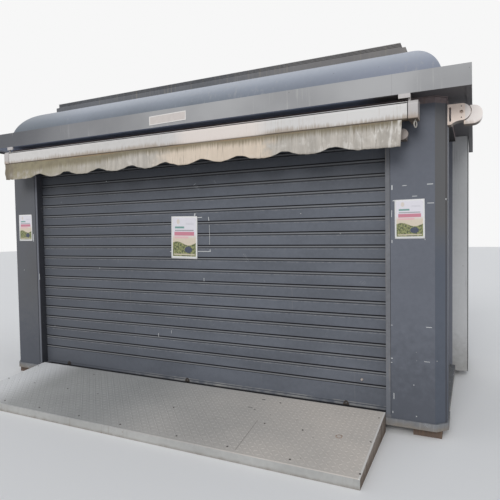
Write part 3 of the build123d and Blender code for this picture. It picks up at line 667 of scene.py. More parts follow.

# slatted shutter: the same paint, with grime and painted shade in the groove over each bead and in the joint
# under it
shutterLook = dict(
    colour=(0.104, 0.113, 0.134), wander=0.16, rough=0.46, roughSwing=0.12, gloss=0.25,
    pitch=0.110, firstJoint=0.310, lowest=0.302, blotch=0.8, grain=0.03, spread=(0.33, 0.67),
    slatShade=(0.140, 0.150, 0.170), slatAmount=0.16,
    leftPaintedShade=(0.074, 0.079, 0.092), leftFade=(0.2, -1.8), leftAmount=0.75,
    dustAndSheen=(0.215, 0.215, 0.215), runWidth=0.02, runCover=0.4, runAmount=0.25,
    bead=((0.0005, 0.0025), (0.0135, 0.0125)), beadAmount=0.55,
    lightLine=((0.0940, 0.0970), (0.1010, 0.1000)), lightPatches=(0.25, 0.8),
    joint=((0.0015, 0.0005), (0.1040, 0.1055)), lowGrimeAndShade=(0.028, 0.028, 0.032),
    groove=((0.0125, 0.0140), (0.0247, 0.0232)), grimeAndShade=(0.010, 0.010, 0.013),
    ledges=((0.140, 0.1575, 0.001), (0.1655, 0.1725, 0.001)), ledgePatch=0.12, ledgePatches=(0.30, 0.65),
    ledgeFade=(-1.1, 0.4), ledgeDust=(0.30, 0.295, 0.285), ledgeAmount=0.9,
    ledgeLine=(0.1580, 0.1625, 0.001), ledgeLineAmount=0.7,
    sootAndShade=(0.018, 0.019, 0.022), awningShadeFrom=(1.72, 2.04), sootAndShadeAmount=0.30,
    scratchColour=(0.34, 0.35, 0.37), scratchLength=0.14, scratchCover=0.35, scratchAmount=0.55,
    spotColour=(0.45, 0.45, 0.44), spotSpacing=0.11, spotRadius=0.05, spotShare=0.18, spotAmount=0.8,
)


def shutterMaterial():
    look = shutterLook
    paint = Paint("shutterPaint")
    coords, level = paint.coords, paint.places["Z"]
    above = paint.minus(level, look["firstJoint"])
    inSlat = paint.calc("FLOORED_MODULO", above, look["pitch"])
    onSlats = paint.calc("GREATER_THAN", level, look["lowest"])
    wide = paint.noise(paint.mapped(coords, (1.0, 1.0, 3.0)), look["blotch"], 3.0)
    fine = paint.noise(coords, look["grain"], 6.0, 0.65)
    spread = paint.ramp(paint.plus(paint.times(wide, 0.7), paint.times(fine, 0.3)), *look["spread"])
    paint.base(look["colour"], 1.0 - look["wander"], 1.0 + look["wander"], spread)
    # each slat has faded a little differently
    slatNumber = paint.calc("FLOOR", paint.over(above, look["pitch"]))
    slatNoise = paint.node("ShaderNodeTexWhiteNoise", {"W": slatNumber}, noise_dimensions="1D")
    paint.coat(look["slatShade"], slatNoise.outputs["Value"], look["slatAmount"])
    # painted shade: the shutter darkens towards its left end
    paint.coat(look["leftPaintedShade"], paint.linear(paint.places["X"], *look["leftFade"]), look["leftAmount"])
    runs = paint.effect(rainRuns, Vector=coords, Width=look["runWidth"], Cover=look["runCover"])
    paint.coat(look["dustAndSheen"], runs, look["runAmount"])
    # dust and a painted sheen on each bead
    paint.coat(look["dustAndSheen"], paint.window(inSlat, *look["bead"]), onSlats, look["beadAmount"])
    # painted highlight: a thin pale line just under each joint, in patches
    lightPatches = paint.ramp(fine, *look["lightPatches"])
    paint.coat(look["dustAndSheen"], paint.window(inSlat, *look["lightLine"]), onSlats, lightPatches)
    # grime and painted shade in each joint and in the groove over the bead
    joint = paint.calc("MAXIMUM", *[paint.ramp(inSlat, *side) for side in look["joint"]])
    paint.coat(look["lowGrimeAndShade"], joint, onSlats)
    paint.coat(look["grimeAndShade"], paint.window(inSlat, *look["groove"]), onSlats)
    # dust lies on the two ledges of the bottom bar, with a dark line of painted shade under the upper one
    ledges = paint.calc("MAXIMUM", *[paint.between(level, *ledge) for ledge in look["ledges"]])
    patches = paint.ramp(paint.noise(coords, look["ledgePatch"], 5.0), *look["ledgePatches"])
    dusty = paint.times(ledges, patches, paint.ramp(paint.places["X"], *look["ledgeFade"]))
    paint.coat(look["ledgeDust"], dusty, look["ledgeAmount"])
    paint.coat(look["lowGrimeAndShade"], paint.between(level, *look["ledgeLine"]), look["ledgeLineAmount"])
    # painted shade: the shutter darkens towards the top, under the awning
    paint.coat(look["sootAndShade"], paint.ramp(level, *look["awningShadeFrom"]), look["sootAndShadeAmount"])
    addMarks(paint, look)
    rough = paint.plus(look["rough"] - look["roughSwing"] / 2, paint.times(fine, look["roughSwing"]),
                       paint.times(dusty, 0.25))
    ripple = paint.noise(paint.mapped(coords, (0.35, 1.0, 1.0)), 0.09, 2.0)
    return paint.finished(paint.plus(ripple, paint.times(fine, 0.15)), 0.10, 0.004,
                          {"Roughness": rough, "Specular IOR Level": look["gloss"]})


metals["shutterPaint"] = shutterMaterial()

# the finishes and the nodes of the frame that wear them, by the start of their names
wears = {
    "brownSteel": ("base_feet", "base_joists", "ramp_stringers"), "wornShoe": ("base_shoes", "base_rails"),
    "floorPaint": ("floor_panel",), "slatePaint": ("column",), "leftWallPaint": ("left_wall",),
    "rightWallPaint": ("right_wall",), "rearWallPaint": ("rear_wall",), "rustyBeam": ("header",),
    "eavePaint": ("eave",), "roofPaint": ("roof_cove", "roof_top"),
    "deckSheet": ("roof_upstand", "ribbed_deck"), "guidePaint": ("shutter_guide",),
    "shutterPaint": ("shutter_curtain", "shutter_bottom_bar"),
    "awningBlock": ("awning_brackets", "awning_hangers"), "armGrey": ("awning_arms",),
    "awningBar": ("awning_front_bar", "awning_roller", "awning_valance"), "ringSteel": ("crank_eye",),
    "bracketCream": ("side_bracket",), "cabinetGrey": ("side_cabinet",), "rampSteel": ("ramp_plate",),
    "rampEdge": ("ramp_front_lip",), "rampSideRust": ("ramp_sides",),
}
for nodeName, nodeObject in cadNodes.items():
    finish = next(metals[name] for name, starts in wears.items() if nodeName.startswith(starts))
    nodeObject.data.materials.clear()
    nodeObject.data.materials.append(finish)
print("sheet metal finishes assigned")


# valance: scalloped cloth hung from the front bar

clothLow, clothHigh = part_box("awning_valance")
valance = dict(
    left=clothLow[0], right=clothHigh[0] - 0.002, flare=0.011, top=2.3035, bottoms=(2.137, 2.121),
    plane=(clothLow[1] + clothHigh[1]) / 2,
    crests=(-1.586, -1.205, -0.791, -0.410, -0.030, 0.351, 0.694, 1.090, 1.484),
    crestRise=0.037, crestHalf=0.058, crestShare=0.70, torn=0.005, gauge=0.0011, columns=700, rows=24,
    sway=0.010, pleat=0.0016, limp=0.22, slip=0.034, limpSwing=0.013,
    creaseFrom=1.50, creaseGrow=0.12, crease=0.0060, flareShare=0.03,
)


def wobble(a, b, c):
    return noise.noise(Vector((a, b, c)))


def valanceEdge(x):
    # wide troughs between short crests: height of the cut edge above the lowest point
    crests, crestHalf = valance["crests"], valance["crestHalf"]
    rise, turn = valance["crestRise"], valance["crestShare"]
    pitch = (crests[-1] - crests[0]) / (len(crests) - 1)
    near = min(abs(x - crest) for crest in crests)
    if x < crests[0] - pitch / 2 or x > crests[-1] + pitch / 2:
        return 0.0
    if near < crestHalf:
        return rise * (1.0 - (1.0 - turn) * (near / crestHalf) ** 2)
    trough = pitch / 2 - crestHalf
    return rise * turn * max(0.0, 1.0 - (near - crestHalf) / trough) ** 2


def valanceFold(x, fallen):
    # how far the cloth stands forward: soft waves that grow towards the cut edge
    slow = math.sin(x * 5.1 + 0.7) + 0.6 * math.sin(x * 11.3 + 2.0)
    quick = wobble(x * 16.0, fallen * 1.5, 4.2)
    forward = valance["sway"] * (0.55 + 0.30 * slow + 0.55 * quick) * fallen ** 1.3
    # fine pleats where the cloth is gathered into the bar's groove
    forward += valance["pleat"] * wobble(x * 55.0, fallen * 2.0, 7.7) * (1.0 - 0.5 * fallen)
    # leaning creases near the right end
    beyond = x - valance["creaseFrom"]
    if beyond > 0.0:
        lean = x * 36.0 - fallen * 6.5 + 0.8 * wobble(x * 5.0, fallen * 2.0, 1.1)
        crease = valance["crease"] * max(0.0, math.sin(lean)) ** 5
        crease *= min(1.0, beyond / valance["creaseGrow"])
        forward += crease * math.sin(math.pi * min(1.0, fallen * 1.1))
    return max(0.0, forward)


def makeValance():
    verts, uvs = [], []
    columns, rows = valance["columns"], valance["rows"]
    lowLeft, lowRight = valance["bottoms"]
    for column in range(columns + 1):
        share = column / columns
        x = valance["left"] + (valance["right"] - valance["left"]) * share
        tornOff = valance["torn"] * wobble(x * 22.0, 0.0, 9.0)
        lowest = lowLeft + (lowRight - lowLeft) * share + valanceEdge(x) + tornOff
        fromLeft = x - valance["left"]
        limp = max(0.0, 1.0 - fromLeft / valance["limp"]) ** 2
        nearRight = max(0.0, 1.0 - (1.0 - share) / valance["flareShare"])
        flare = nearRight * valance["flare"]
        for row in range(rows + 1):
            fallen = row / rows
            z = valance["top"] + (lowest - valance["top"]) * fallen
            y = valance["plane"] - valanceFold(x, fallen)
            # the left end is limp: it slips inwards and hangs in ragged folds
            folds = math.sin(fromLeft * 95.0 + fallen * 1.5 + 2.0 * wobble(fromLeft * 9.0, fallen, 2.5))
            y -= limp * fallen ** 0.6 * valance["limpSwing"] * (0.6 + folds)
            slipped = limp * valance["slip"] * fallen * (1.0 + 0.25 * math.sin(fallen * 9.0))
            verts.append((x + slipped + flare * (1.0 - fallen), y, z))
            uvs.append((fromLeft, valance["top"] - z))
    return verts, gridFaces(columns, rows, turned=True), uvs


# colours, then where each mask starts and ends, in metres across or down the cloth or in levels of a noise
clothLook = dict(
    colour=(0.450, 0.415, 0.370), dark=0.84, light=1.12, spread=(0.30, 0.68),
    rough=0.92, sheen=0.10, gloss=0.20, thread=0.0016, bump=0.35, bumpDepth=0.0015,
    bleachAndHighlight=(0.66, 0.63, 0.585), bleachPatches=(0.52, 0.70), bleachAmount=0.4,
    warm=(0.700, 0.575, 0.450), warmSpan=((1.86, 2.20), (3.14, 2.92)), warmAmount=0.68,
    sootAndShade=(0.175, 0.148, 0.120), sootRuns=(0.50, 0.70), sootPatches=(0.36, 0.62), sootAndShadeAmount=0.50,
    mould=(0.145, 0.119, 0.064), mouldTop=(0.125, 0.0), mouldRight=(1.6, 3.3), mouldFrom=(0.63, 0.95),
    mouldShares=(0.62, 0.40, 0.42, -0.05, 0.28), mouldAmount=0.80,
    dull=(0.275, 0.243, 0.160), dullSpan=(1.7, 0.3), dullPatches=(0.25, 0.65), dullAmount=0.95,
    rust=(0.33, 0.20, 0.10), rustTop=(0.030, 0.0), rustFrom=(0.45, 1.0), rustPatches=(0.42, 0.62),
    rustAmount=0.6,
    endSpan=(0.20, 0.0), endFrom=(0.15, 0.85), endAmount=0.65,
    creaseLean=0.42, creaseSpan=(3.62, 3.80), crease=(0.56, 0.66), creaseAmount=0.8,
    lineLeans=(0.55, -0.60), lineSpan=(3.25, 3.75), lineTop=(0.020, 0.060), linePatches=(0.44, 0.56),
    line=(0.022, 0.006), lineAmount=0.60, hemSpan=(0.140, 0.178), hemFrom=(0.45, 1.1), hemAmount=0.35,
)


def clothMaterial():
    look = clothLook
    paint = Paint("awningCloth")
    uvMap = paint.node("ShaderNodeUVMap", uv_map="clothUV").outputs[0]
    across, fallen, _ = paint.separate(uvMap)
    fine = paint.noise(uvMap, 0.010, 5.0)
    blotch = paint.noise(uvMap, 0.07, 4.0)
    runs = paint.streaks(uvMap, (70.0, 5.0, 1.0), 5.0, 0.65)
    broadRuns = paint.streaks(uvMap, (16.0, 2.5, 1.0), 4.0, 0.6)
    patches = paint.streaks(uvMap, (1.3, 2.0, 1.0), 2.0)
    paint.base(look["colour"], look["dark"], look["light"], paint.ramp(broadRuns, *look["spread"]))
    paint.coat(look["bleachAndHighlight"], paint.ramp(blotch, *look["bleachPatches"]), look["bleachAmount"])
    # the middle is warmer and paler: yellowed cloth and a painted patch of sunlight
    ragged = paint.plus(across, paint.swing(blotch, 0.5))
    paint.coat(look["warm"], paint.window(ragged, *look["warmSpan"]), look["warmAmount"])
    # soot washed down in streaks
    streaky = paint.ramp(runs, *look["sootRuns"])
    paint.coat(look["sootAndShade"], streaky, paint.ramp(broadRuns, *look["sootPatches"]), look["sootAndShadeAmount"])
    # mould creeps down from the bar, thickest in patches and on the left, thinnest near the right end
    leftThird = paint.linear(across, *look["dullSpan"])
    fromTop, rightHalf = paint.linear(fallen, *look["mouldTop"]), paint.linear(across, *look["mouldRight"])
    causes = zip((fromTop, patches, runs, rightHalf, leftThird), look["mouldShares"])
    mould = paint.plus(*[paint.times(cause, share) for cause, share in causes])
    paint.coat(look["mould"], paint.ramp(mould, *look["mouldFrom"]), look["mouldAmount"])
    paint.coat(look["dull"], leftThird, paint.ramp(blotch, *look["dullPatches"]), look["dullAmount"])
    # a line of rust where the bar drips
    dripped = paint.plus(paint.linear(fallen, *look["rustTop"]), paint.swing(runs))
    rustPatches = paint.ramp(patches, *look["rustPatches"])
    paint.coat(look["rust"], paint.ramp(dripped, *look["rustFrom"]), rustPatches, look["rustAmount"])
    # the left end is brown
    leftEnd = paint.plus(paint.linear(across, *look["endSpan"]), paint.swing(broadRuns))
    paint.coat(look["sootAndShade"], paint.ramp(leftEnd, *look["endFrom"]), look["endAmount"])
    # painted highlights: pale leaning creases near the right end
    creases = paint.streaks(uvMap, (26.0, 3.2, 1.0), 2.0, lean=look["creaseLean"])
    nearRight = paint.linear(across, *look["creaseSpan"])
    paint.coat(look["bleachAndHighlight"], paint.ramp(creases, *look["crease"]), nearRight, look["creaseAmount"])
    # painted highlights: thin pale crease lines that cross there
    creased = paint.times(paint.linear(across, *look["lineSpan"]), paint.ramp(fallen, *look["lineTop"]),
                          paint.ramp(blotch, *look["linePatches"]))
    for lean in look["lineLeans"]:
        lines = paint.streaks(uvMap, (16.0, 3.2, 1.0), 1.0, lean=lean)
        line = paint.ramp(paint.apart(lines, 0.5), *look["line"])
        paint.coat(look["bleachAndHighlight"], line, creased, look["lineAmount"])
    # a grimy hem
    hem = paint.plus(paint.linear(fallen, *look["hemSpan"]), paint.swing(fine))
    paint.coat(look["sootAndShade"], paint.ramp(hem, *look["hemFrom"]), look["hemAmount"])
    thread = paint.effect(weave, Vector=uvMap, Thread=look["thread"])
    height = paint.plus(paint.times(thread, 0.25), fine, paint.times(runs, 0.4))
    return paint.finished(height, look["bump"], look["bumpDepth"], {
        "Roughness": look["rough"], "Sheen Weight": look["sheen"], "Specular IOR Level": look["gloss"]})


clothFinish = clothMaterial()
valanceCloth = thinSheet("valanceCloth", *makeValance(), clothFinish, "clothUV", valance["gauge"])
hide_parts("awning_valance")
rideOn(valanceCloth)
print("valance hung")


# cloth rolled on its tube

drumLow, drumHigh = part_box("awning_roller")
roll = dict(
    axisY=(drumLow[1] + drumHigh[1]) / 2, axisZ=(drumLow[2] + drumHigh[2]) / 2, tube=0.026, inner=0.0275,
    outer=0.0452, turns=8, perTurn=30, gauge=0.0008, left=drumLow[0] + 0.0025, right=drumHigh[0] - 0.0025,
    columns=24, ragged=0.0025, end=(-1.0948, 2.4260), endSteps=8, sag=0.0012,
    tubeEnds=(drumLow[0] + 0.0002, drumHigh[0] - 0.0002), sides=40,
)


def rollLine():
    points = []
    steps = roll["turns"] * roll["perTurn"]
    for step in range(steps + 1):
        share = step / steps
        radius = roll["inner"] + (roll["outer"] - roll["inner"]) * share
        angle = math.pi / 2 + 2 * math.pi * roll["turns"] * (1.0 - share)
        points.append((roll["axisY"] + radius * math.cos(angle), roll["axisZ"] + radius * math.sin(angle)))
    # the last stretch leaves the roll at its top and runs forward to the bar, with a little sag
    topY, topZ = points[-1]
    endY, endZ = roll["end"]
    for step in range(1, roll["endSteps"] + 1):
        share = step / roll["endSteps"]
        sag = roll["sag"] * math.sin(math.pi * share)
        points.append((topY + (endY - topY) * share, topZ + (endZ - topZ) * share - sag))
    return points


def makeRoll():
    line = rollLine()
    verts, uvs = [], []
    columns = roll["columns"]
    run = 0.0
    for index, (y, z) in enumerate(line):
        if index:
            run += math.dist(line[index - 1], (y, z))
        # the ends of the turns don't line up exactly
        ragged = roll["ragged"] * (0.5 + 0.5 * math.sin(index * 0.21))
        for column in range(columns + 1):
            x = roll["left"] + (roll["right"] - roll["left"]) * (column / columns)
            x += {0: ragged, columns: -ragged}.get(column, 0.0)
            verts.append((x, y, z))
            uvs.append((x - roll["left"], run))
    return verts, gridFaces(len(line) - 1, columns), uvs, run


def makeTube():
    verts = []
    for x in roll["tubeEnds"]:
        for side in range(roll["sides"]):
            angle = 2 * math.pi * side / roll["sides"]
            verts.append((x, roll["axisY"] + roll["tube"] * math.cos(angle),
                          roll["axisZ"] + roll["tube"] * math.sin(angle)))
    caps = [tuple(range(roll["sides"])), tuple(reversed(range(roll["sides"], 2 * roll["sides"])))]
    return verts, ringFaces(2, roll["sides"]) + caps


*rollShape, clothRun = makeRoll()
clothRoll = thinSheet("clothRoll", *rollShape, clothFinish, "clothUV", roll["gauge"])
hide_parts("awning_roller")
rideOn(clothRoll)
rollerTube = finishMesh(newPiece("rollerTube", *makeTube(), metals["rampEdge"]))
rideOn(rollerTube)
print("cloth rolled:", round(clothRun, 3), "m")

# tread plate: low almond bosses, turned one way and the other in a chequer
rampLow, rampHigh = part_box("ramp_plate")
rampSlope, rampRise = 5.24, 0.0917
tread = dict(
    centre=((rampLow[0] + rampHigh[0]) / 2, (rampLow[1] + rampHigh[1]) / 2, 0.1110), length=3.595,
    width=0.830, pitch=0.038, boss=(0.0320, 0.0105, 0.0014), bossSides=8, bossTop=0.30,
)


def treadTree():
    net = Effect("treadBosses", {
        "Length": 3.5, "Width": 0.8, "Pitch": 0.03, "Boss": (0.026, 0.008, 0.0016), "Turn": origin,
        "Place": origin, "Finish": None}, "Geometry")
    given = net.given
    columns = net.calc("ROUND", net.over(given["Length"], given["Pitch"]))
    rows = net.calc("ROUND", net.over(given["Width"], given["Pitch"]))
    grid = net.node("GeometryNodeMeshGrid", {
        "Size X": given["Length"], "Size Y": given["Width"], "Vertices X": columns, "Vertices Y": rows})
    index = net.node("GeometryNodeInputIndex").outputs[0]
    column = net.calc("FLOOR", net.over(index, rows))
    row = net.calc("FLOORED_MODULO", index, rows)
    odd = net.calc("FLOORED_MODULO", net.plus(column, row), 2.0)
    boss = net.node("GeometryNodeMeshCone", {
        "Vertices": tread["bossSides"], "Radius Top": tread["bossTop"], "Radius Bottom": 0.5, "Depth": 1.0})
    placed = net.node("GeometryNodeInstanceOnPoints", {
        "Points": grid.outputs["Mesh"], "Instance": boss.outputs["Mesh"],
        "Rotation": net.combine(z=net.swing(odd, math.pi / 2)), "Scale": given["Boss"]})
    real = net.node("GeometryNodeRealizeInstances", {0: placed.outputs[0]})
    moved = net.node("GeometryNodeTransform", {
        "Geometry": real.outputs[0], "Translation": given["Place"], "Rotation": given["Turn"]})
    worn = {"Geometry": moved.outputs[0], "Material": given["Finish"]}
    return net.ended(net.node("GeometryNodeSetMaterial", worn).outputs[0])


bosses = newPiece("treadBosses", [], [], metals["rampSteel"])
shaped(bosses, treadTree(), Length=tread["length"], Width=tread["width"], Pitch=tread["pitch"],
       Boss=tread["boss"], Turn=(math.radians(rampSlope), 0.0, 0.0), Place=tread["centre"],
       Finish=metals["rampSteel"])
rideOn(bosses)
print("tread plate:", len(bosses.data.polygons), "faces")

# round-headed screws on a set of points, all facing one way
rampRows = {
    -1.062: (-1.815, -1.024, 0.986, 1.777),
    -1.416: (-1.816, -1.446, -1.010, -0.640, 0.179, 1.001, 1.300, 1.784),
    -1.797: (-1.822, -1.368, -0.934, -0.480, -0.052, 0.469, 0.887, 1.345, 1.796),
}
smallHead, rampHead = (0.0042, 0.0042, 0.0030), (0.0075, 0.0075, 0.0022)
screwApart, castingInset = 0.080, 0.028
castingLow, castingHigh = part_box("awning_brackets")


def screwPair(x, y, z):
    return [(x, y, z + screwApart / 2), (x, y, z - screwApart / 2)]


screwPlaces = {
    "rampScrews": dict(turn=(rampSlope, 0.0, 0.0), size=rampHead, points=[
        (x, y, rampHigh[2] + (y - rampHigh[1]) * rampRise) for y, row in rampRows.items() for x in row]),
    "bracketScrews": dict(turn=(90.0, 0.0, 0.0), size=smallHead, points=screwPair(
        2.331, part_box("side_bracket")[0][1], 2.379)),
    "castingScrewsRight": dict(turn=(90.0, 0.0, 90.0), size=smallHead, points=screwPair(
        castingHigh[0] - castingInset, roll["axisY"], roll["axisZ"])),
    "castingScrewsLeft": dict(turn=(90.0, 0.0, -90.0), size=smallHead, points=screwPair(
        castingLow[0] + castingInset, roll["axisY"], roll["axisZ"])),
}


def screwTree():
    net = Effect("screwHeads", {"Size": (0.004, 0.004, 0.002), "Turn": origin, "Finish": None}, "Geometry")
    head = net.node("GeometryNodeMeshCone", {
        "Vertices": 18, "Radius Top": 0.72, "Radius Bottom": 1.0, "Depth": 1.0})
    drive = net.node("GeometryNodeMeshCone", {
        "Vertices": 6, "Radius Top": 0.34, "Radius Bottom": 0.34, "Depth": 0.12})
    lifted = net.node("GeometryNodeTransform", {"Geometry": drive.outputs["Mesh"], "Translation": up})
    joined = net.node("GeometryNodeJoinGeometry")
    for part in (head.outputs["Mesh"], lifted.outputs[0]):
        net.tree.links.new(part, joined.inputs[0])
    placed = net.node("GeometryNodeInstanceOnPoints", {
        "Points": net.given["Geometry"], "Instance": joined.outputs[0], "Rotation": net.given["Turn"],
        "Scale": net.given["Size"]})
    real = net.node("GeometryNodeRealizeInstances", {0: placed.outputs[0]})
    worn = {"Geometry": real.outputs[0], "Material": net.given["Finish"]}
    return net.ended(net.node("GeometryNodeSetMaterial", worn).outputs[0])


screwHeads = screwTree()
for screwName, screws in screwPlaces.items():
    piece = newPiece(screwName, screws["points"], [], metals["screwDark"])
    shaped(piece, screwHeads, Size=screws["size"], Turn=[math.radians(angle) for angle in screws["turn"]],
           Finish=metals["screwDark"])
    rideOn(piece)
print("screws driven:", sum(len(screws["points"]) for screws in screwPlaces.values()))

# printed notices: a made-up picture of hills and a pond under plain coloured bands
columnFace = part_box("column_front_right")[0][1]
columnPlane, slatFace = columnFace - 0.0004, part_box("shutter_curtain")[0][1] - 0.0007
notices = {
    "middleNotice": dict(left=-0.178, right=0.110, bottom=1.305, top=1.702, plane=slatFace, turn=-1.2),
    "rightNotice": dict(left=1.880, right=2.091, bottom=1.477, top=1.766, plane=columnPlane, turn=0.4),
    "leftNotice": dict(left=-2.173, right=-1.971, bottom=1.487, top=1.776, plane=columnPlane, turn=-0.3),
}
noticeShape = dict(columns=12, rows=16, fold=0.0012, gauge=0.0003, curl=0.004, curlFrom=(0.88, 0.90))
# shades, then each bar's shade, strength, left, right, low and high edge in shares of the sheet
noticeLook = dict(
    paper=(0.66, 0.64, 0.68), border=(0.74, 0.73, 0.72), grey=(0.30, 0.30, 0.33), teal=(0.10, 0.26, 0.22),
    dark=(0.06, 0.07, 0.07), crimson=(0.50, 0.13, 0.19), blush=(0.66, 0.40, 0.42), sand=(0.60, 0.52, 0.42),
    leaf=(0.26, 0.27, 0.12), hill=(0.085, 0.10, 0.05), pond=(0.050, 0.060, 0.105),
    bars=(("teal", 0.9, 0.14, 0.50, 0.715, 0.760), ("dark", 0.6, 0.14, 0.86, 0.655, 0.680),
          ("crimson", 0.85, 0.12, 0.88, 0.545, 0.635), ("blush", 0.85, 0.12, 0.66, 0.480, 0.525),
          ("grey", 0.4, 0.56, 0.86, 0.805, 0.815), ("grey", 0.4, 0.56, 0.86, 0.830, 0.840)),
    haze=(0.46, 0.60), sun=(0.27, 0.875, 0.0), sunEdge=(0.066, 0.054), sunAmount=0.7,
    hillLevel=0.36, hillRise=0.045, hillWaves=7.0, hillEdge=(-0.01, 0.01), bushes=(0.44, 0.58),
    pondAt=(0.36, 0.215, 0.0), pondEdge=(0.0855, 0.0695), pondAmount=0.92,
    bank=(0.10, 0.90, 0.085, 0.115, 0.008), bankAmount=0.8, inner=(0.055, 0.945, 0.055, 0.965, 0.004),
    stain=(0.55, 0.75), stainAmount=0.18, rough=0.55, gloss=0.35,
)


def noticeMaterial():
    look = noticeLook
    paint = Paint("noticePrint")
    uvMap = paint.node("ShaderNodeUVMap", uv_map="printUV").outputs[0]
    u, v, _ = paint.separate(uvMap)

    def bar(left, right, low, high, soft=0.006):
        return paint.times(paint.between(u, left, right, soft), paint.between(v, low, high, soft))

    grain = paint.noise(uvMap, 0.06, 5.0)
    paint.colour = paint.tint(paint.ramp(v, *look["haze"]), look["sand"], look["paper"])
    for shade, amount, *edges in look["bars"]:
        paint.coat(look[shade], bar(*edges), amount)
    toSun = paint.vector("DISTANCE", uvMap, look["sun"])
    paint.coat(look["sand"], paint.ramp(toSun, *look["sunEdge"]), look["sunAmount"])
    # hills and a pond in the lower part
    waves = paint.times(paint.calc("SINE", paint.times(u, look["hillWaves"])), look["hillRise"])
    hills = paint.ramp(paint.minus(paint.plus(look["hillLevel"], waves), v), *look["hillEdge"])
    bushes = paint.ramp(paint.noise(uvMap, 0.05, 4.0), *look["bushes"])
    paint.coat(paint.tint(bushes, look["leaf"], look["hill"]), hills)
    toPond = paint.vector("DISTANCE", paint.mapped(uvMap, (0.55, 1.0, 1.0)), look["pondAt"])
    paint.coat(look["pond"], paint.ramp(toPond, *look["pondEdge"]), look["pondAmount"])
    paint.coat(look["sand"], bar(*look["bank"]), look["bankAmount"])
    # a pale border all round
    paint.colour = paint.tint(bar(*look["inner"]), look["border"], paint.colour)
    paint.coat(look["grey"], paint.ramp(grain, *look["stain"]), look["stainAmount"])
    settings = {"Roughness": look["rough"], "Specular IOR Level": look["gloss"]}
    return paint.finished(grain, 0.15, 0.001, settings)


def makeNotice(notice):
    shape = noticeShape
    verts, uvs = [], []
    middleX = (notice["left"] + notice["right"]) / 2
    middleZ = (notice["bottom"] + notice["top"]) / 2
    lean = math.radians(notice["turn"])
    curlU, curlV = shape["curlFrom"]
    for column in range(shape["columns"] + 1):
        for row in range(shape["rows"] + 1):
            u, v = column / shape["columns"], row / shape["rows"]
            x = notice["left"] + (notice["right"] - notice["left"]) * u - middleX
            z = notice["bottom"] + (notice["top"] - notice["bottom"]) * v - middleZ
            lift = shape["fold"] * (0.5 + 0.5 * wobble(u * 2.5 + middleX * 9.0, v * 3.0, 0.6))
            # one corner has come loose
            lift += shape["curl"] * max(0.0, u - curlU) / (1.0 - curlU) * max(0.0, v - curlV) / (1.0 - curlV)
            verts.append((middleX + x * math.cos(lean) - z * math.sin(lean), notice["plane"] - lift,
                          middleZ + x * math.sin(lean) + z * math.cos(lean)))
            uvs.append((u, v))
    return verts, gridFaces(shape["columns"], shape["rows"]), uvs


noticePrint = noticeMaterial()
for noticeName, notice in notices.items():
    paper = thinSheet(noticeName, *makeNotice(notice), noticePrint, "printUV", noticeShape["gauge"], -1.0)
    rideOn(paper)
print("notices taped up")

# bare plate on the fascia, with a raised rim
plate = dict(
    left=-0.197, right=0.188, bottom=2.510, top=2.588, back=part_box("eave_front")[0][1], depth=0.0022,
    rim=0.0070, bevel=0.001, rimDepth=0.0034, slope=0.0040,
)


def makePlate():
    # rings from the back edge, over the rim, to the flat middle
    rim, rimDepth, slope = plate["rim"], plate["rimDepth"], plate["slope"]
    rings = ((0.0, 0.0), (0.0, rimDepth), (rim, rimDepth), (rim + plate["bevel"], plate["depth"]))
    verts = []
    for inset, forward in rings:
        y = plate["back"] - forward
        left, right = plate["left"] + inset, plate["right"] - inset
        low, high = plate["bottom"] + inset, plate["top"] - inset
        verts += [(left, y, low - slope), (right, y, low + slope)]
        verts += [(right, y, high + slope), (left, y, high - slope)]
    last = len(verts) - 4
    ends = [(last, last + 1, last + 2, last + 3), (3, 2, 1, 0)]
    return verts, ringFaces(len(rings), 4) + ends


verts, faces = makePlate()
barePlate = newPiece("barePlate", verts, faces, metals["plateRim"])
barePlate.data.materials.append(metals["plateCream"])
barePlate.data.polygons[len(faces) - 2].material_index = 1
rideOn(finishMesh(barePlate))
print("bare plate fixed")

# lock lugs on the bottom bar: an eye in a short bent strap
lugs = dict(
    places=(-1.550, -0.034, 1.484), z=0.157, y=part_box("shutter_bottom_bar")[0][1] - 0.0003, eye=0.0065,
    round=0.0180, foot=0.0150, width=0.0260, gauge=0.0050, steps=32,
)


def lugReach(along, upward):
    # round above, square below
    if upward >= 0:
        return lugs["round"]
    square = min(lugs["width"] / max(abs(along), 1e-6), lugs["foot"] / max(abs(upward), 1e-6))
    return lugs["round"] + (square - lugs["round"]) * min(1.0, -upward * 4.0)


def makeLugs():
    verts, faces = [], []
    steps = lugs["steps"]
    back = 2 * steps
    for middle in lugs["places"]:
        first = len(verts)
        for y in (lugs["y"], lugs["y"] - lugs["gauge"]):
            for step in range(steps):
                angle = 2 * math.pi * step / steps
                along, upward = math.cos(angle), math.sin(angle)
                for reach in (lugs["eye"], lugReach(along, upward)):
                    verts.append((middle + along * reach, y, lugs["z"] + upward * reach))
        for step in range(steps):
            a, b = first + 2 * step, first + 2 * ((step + 1) % steps)
            faces += [(a, a + 1, b + 1, b), (a + back, b + back, b + 1 + back, a + 1 + back),
                      (a + 1, a + 1 + back, b + 1 + back, b + 1), (a, b, b + back, a + back)]
    return verts, faces


lockLugs = finishMesh(newPiece("lockLugs", *makeLugs(), metals["screwDark"]))
rideOn(lockLugs)

# turned knob on the lowest slat: radius and how far it stands out, from the slat to the crown
knob = dict(
    x=1.613, z=0.361, y=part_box("shutter_curtain")[0][1] + 0.0025, steps=28, profile=(
        (0.0, 0.0), (0.0100, 0.0), (0.0100, 0.0020), (0.0060, 0.0030), (0.0055, 0.0070), (0.0088, 0.0085),
        (0.0092, 0.0120), (0.0075, 0.0150), (0.0040, 0.0165), (0.0, 0.0168)),
)


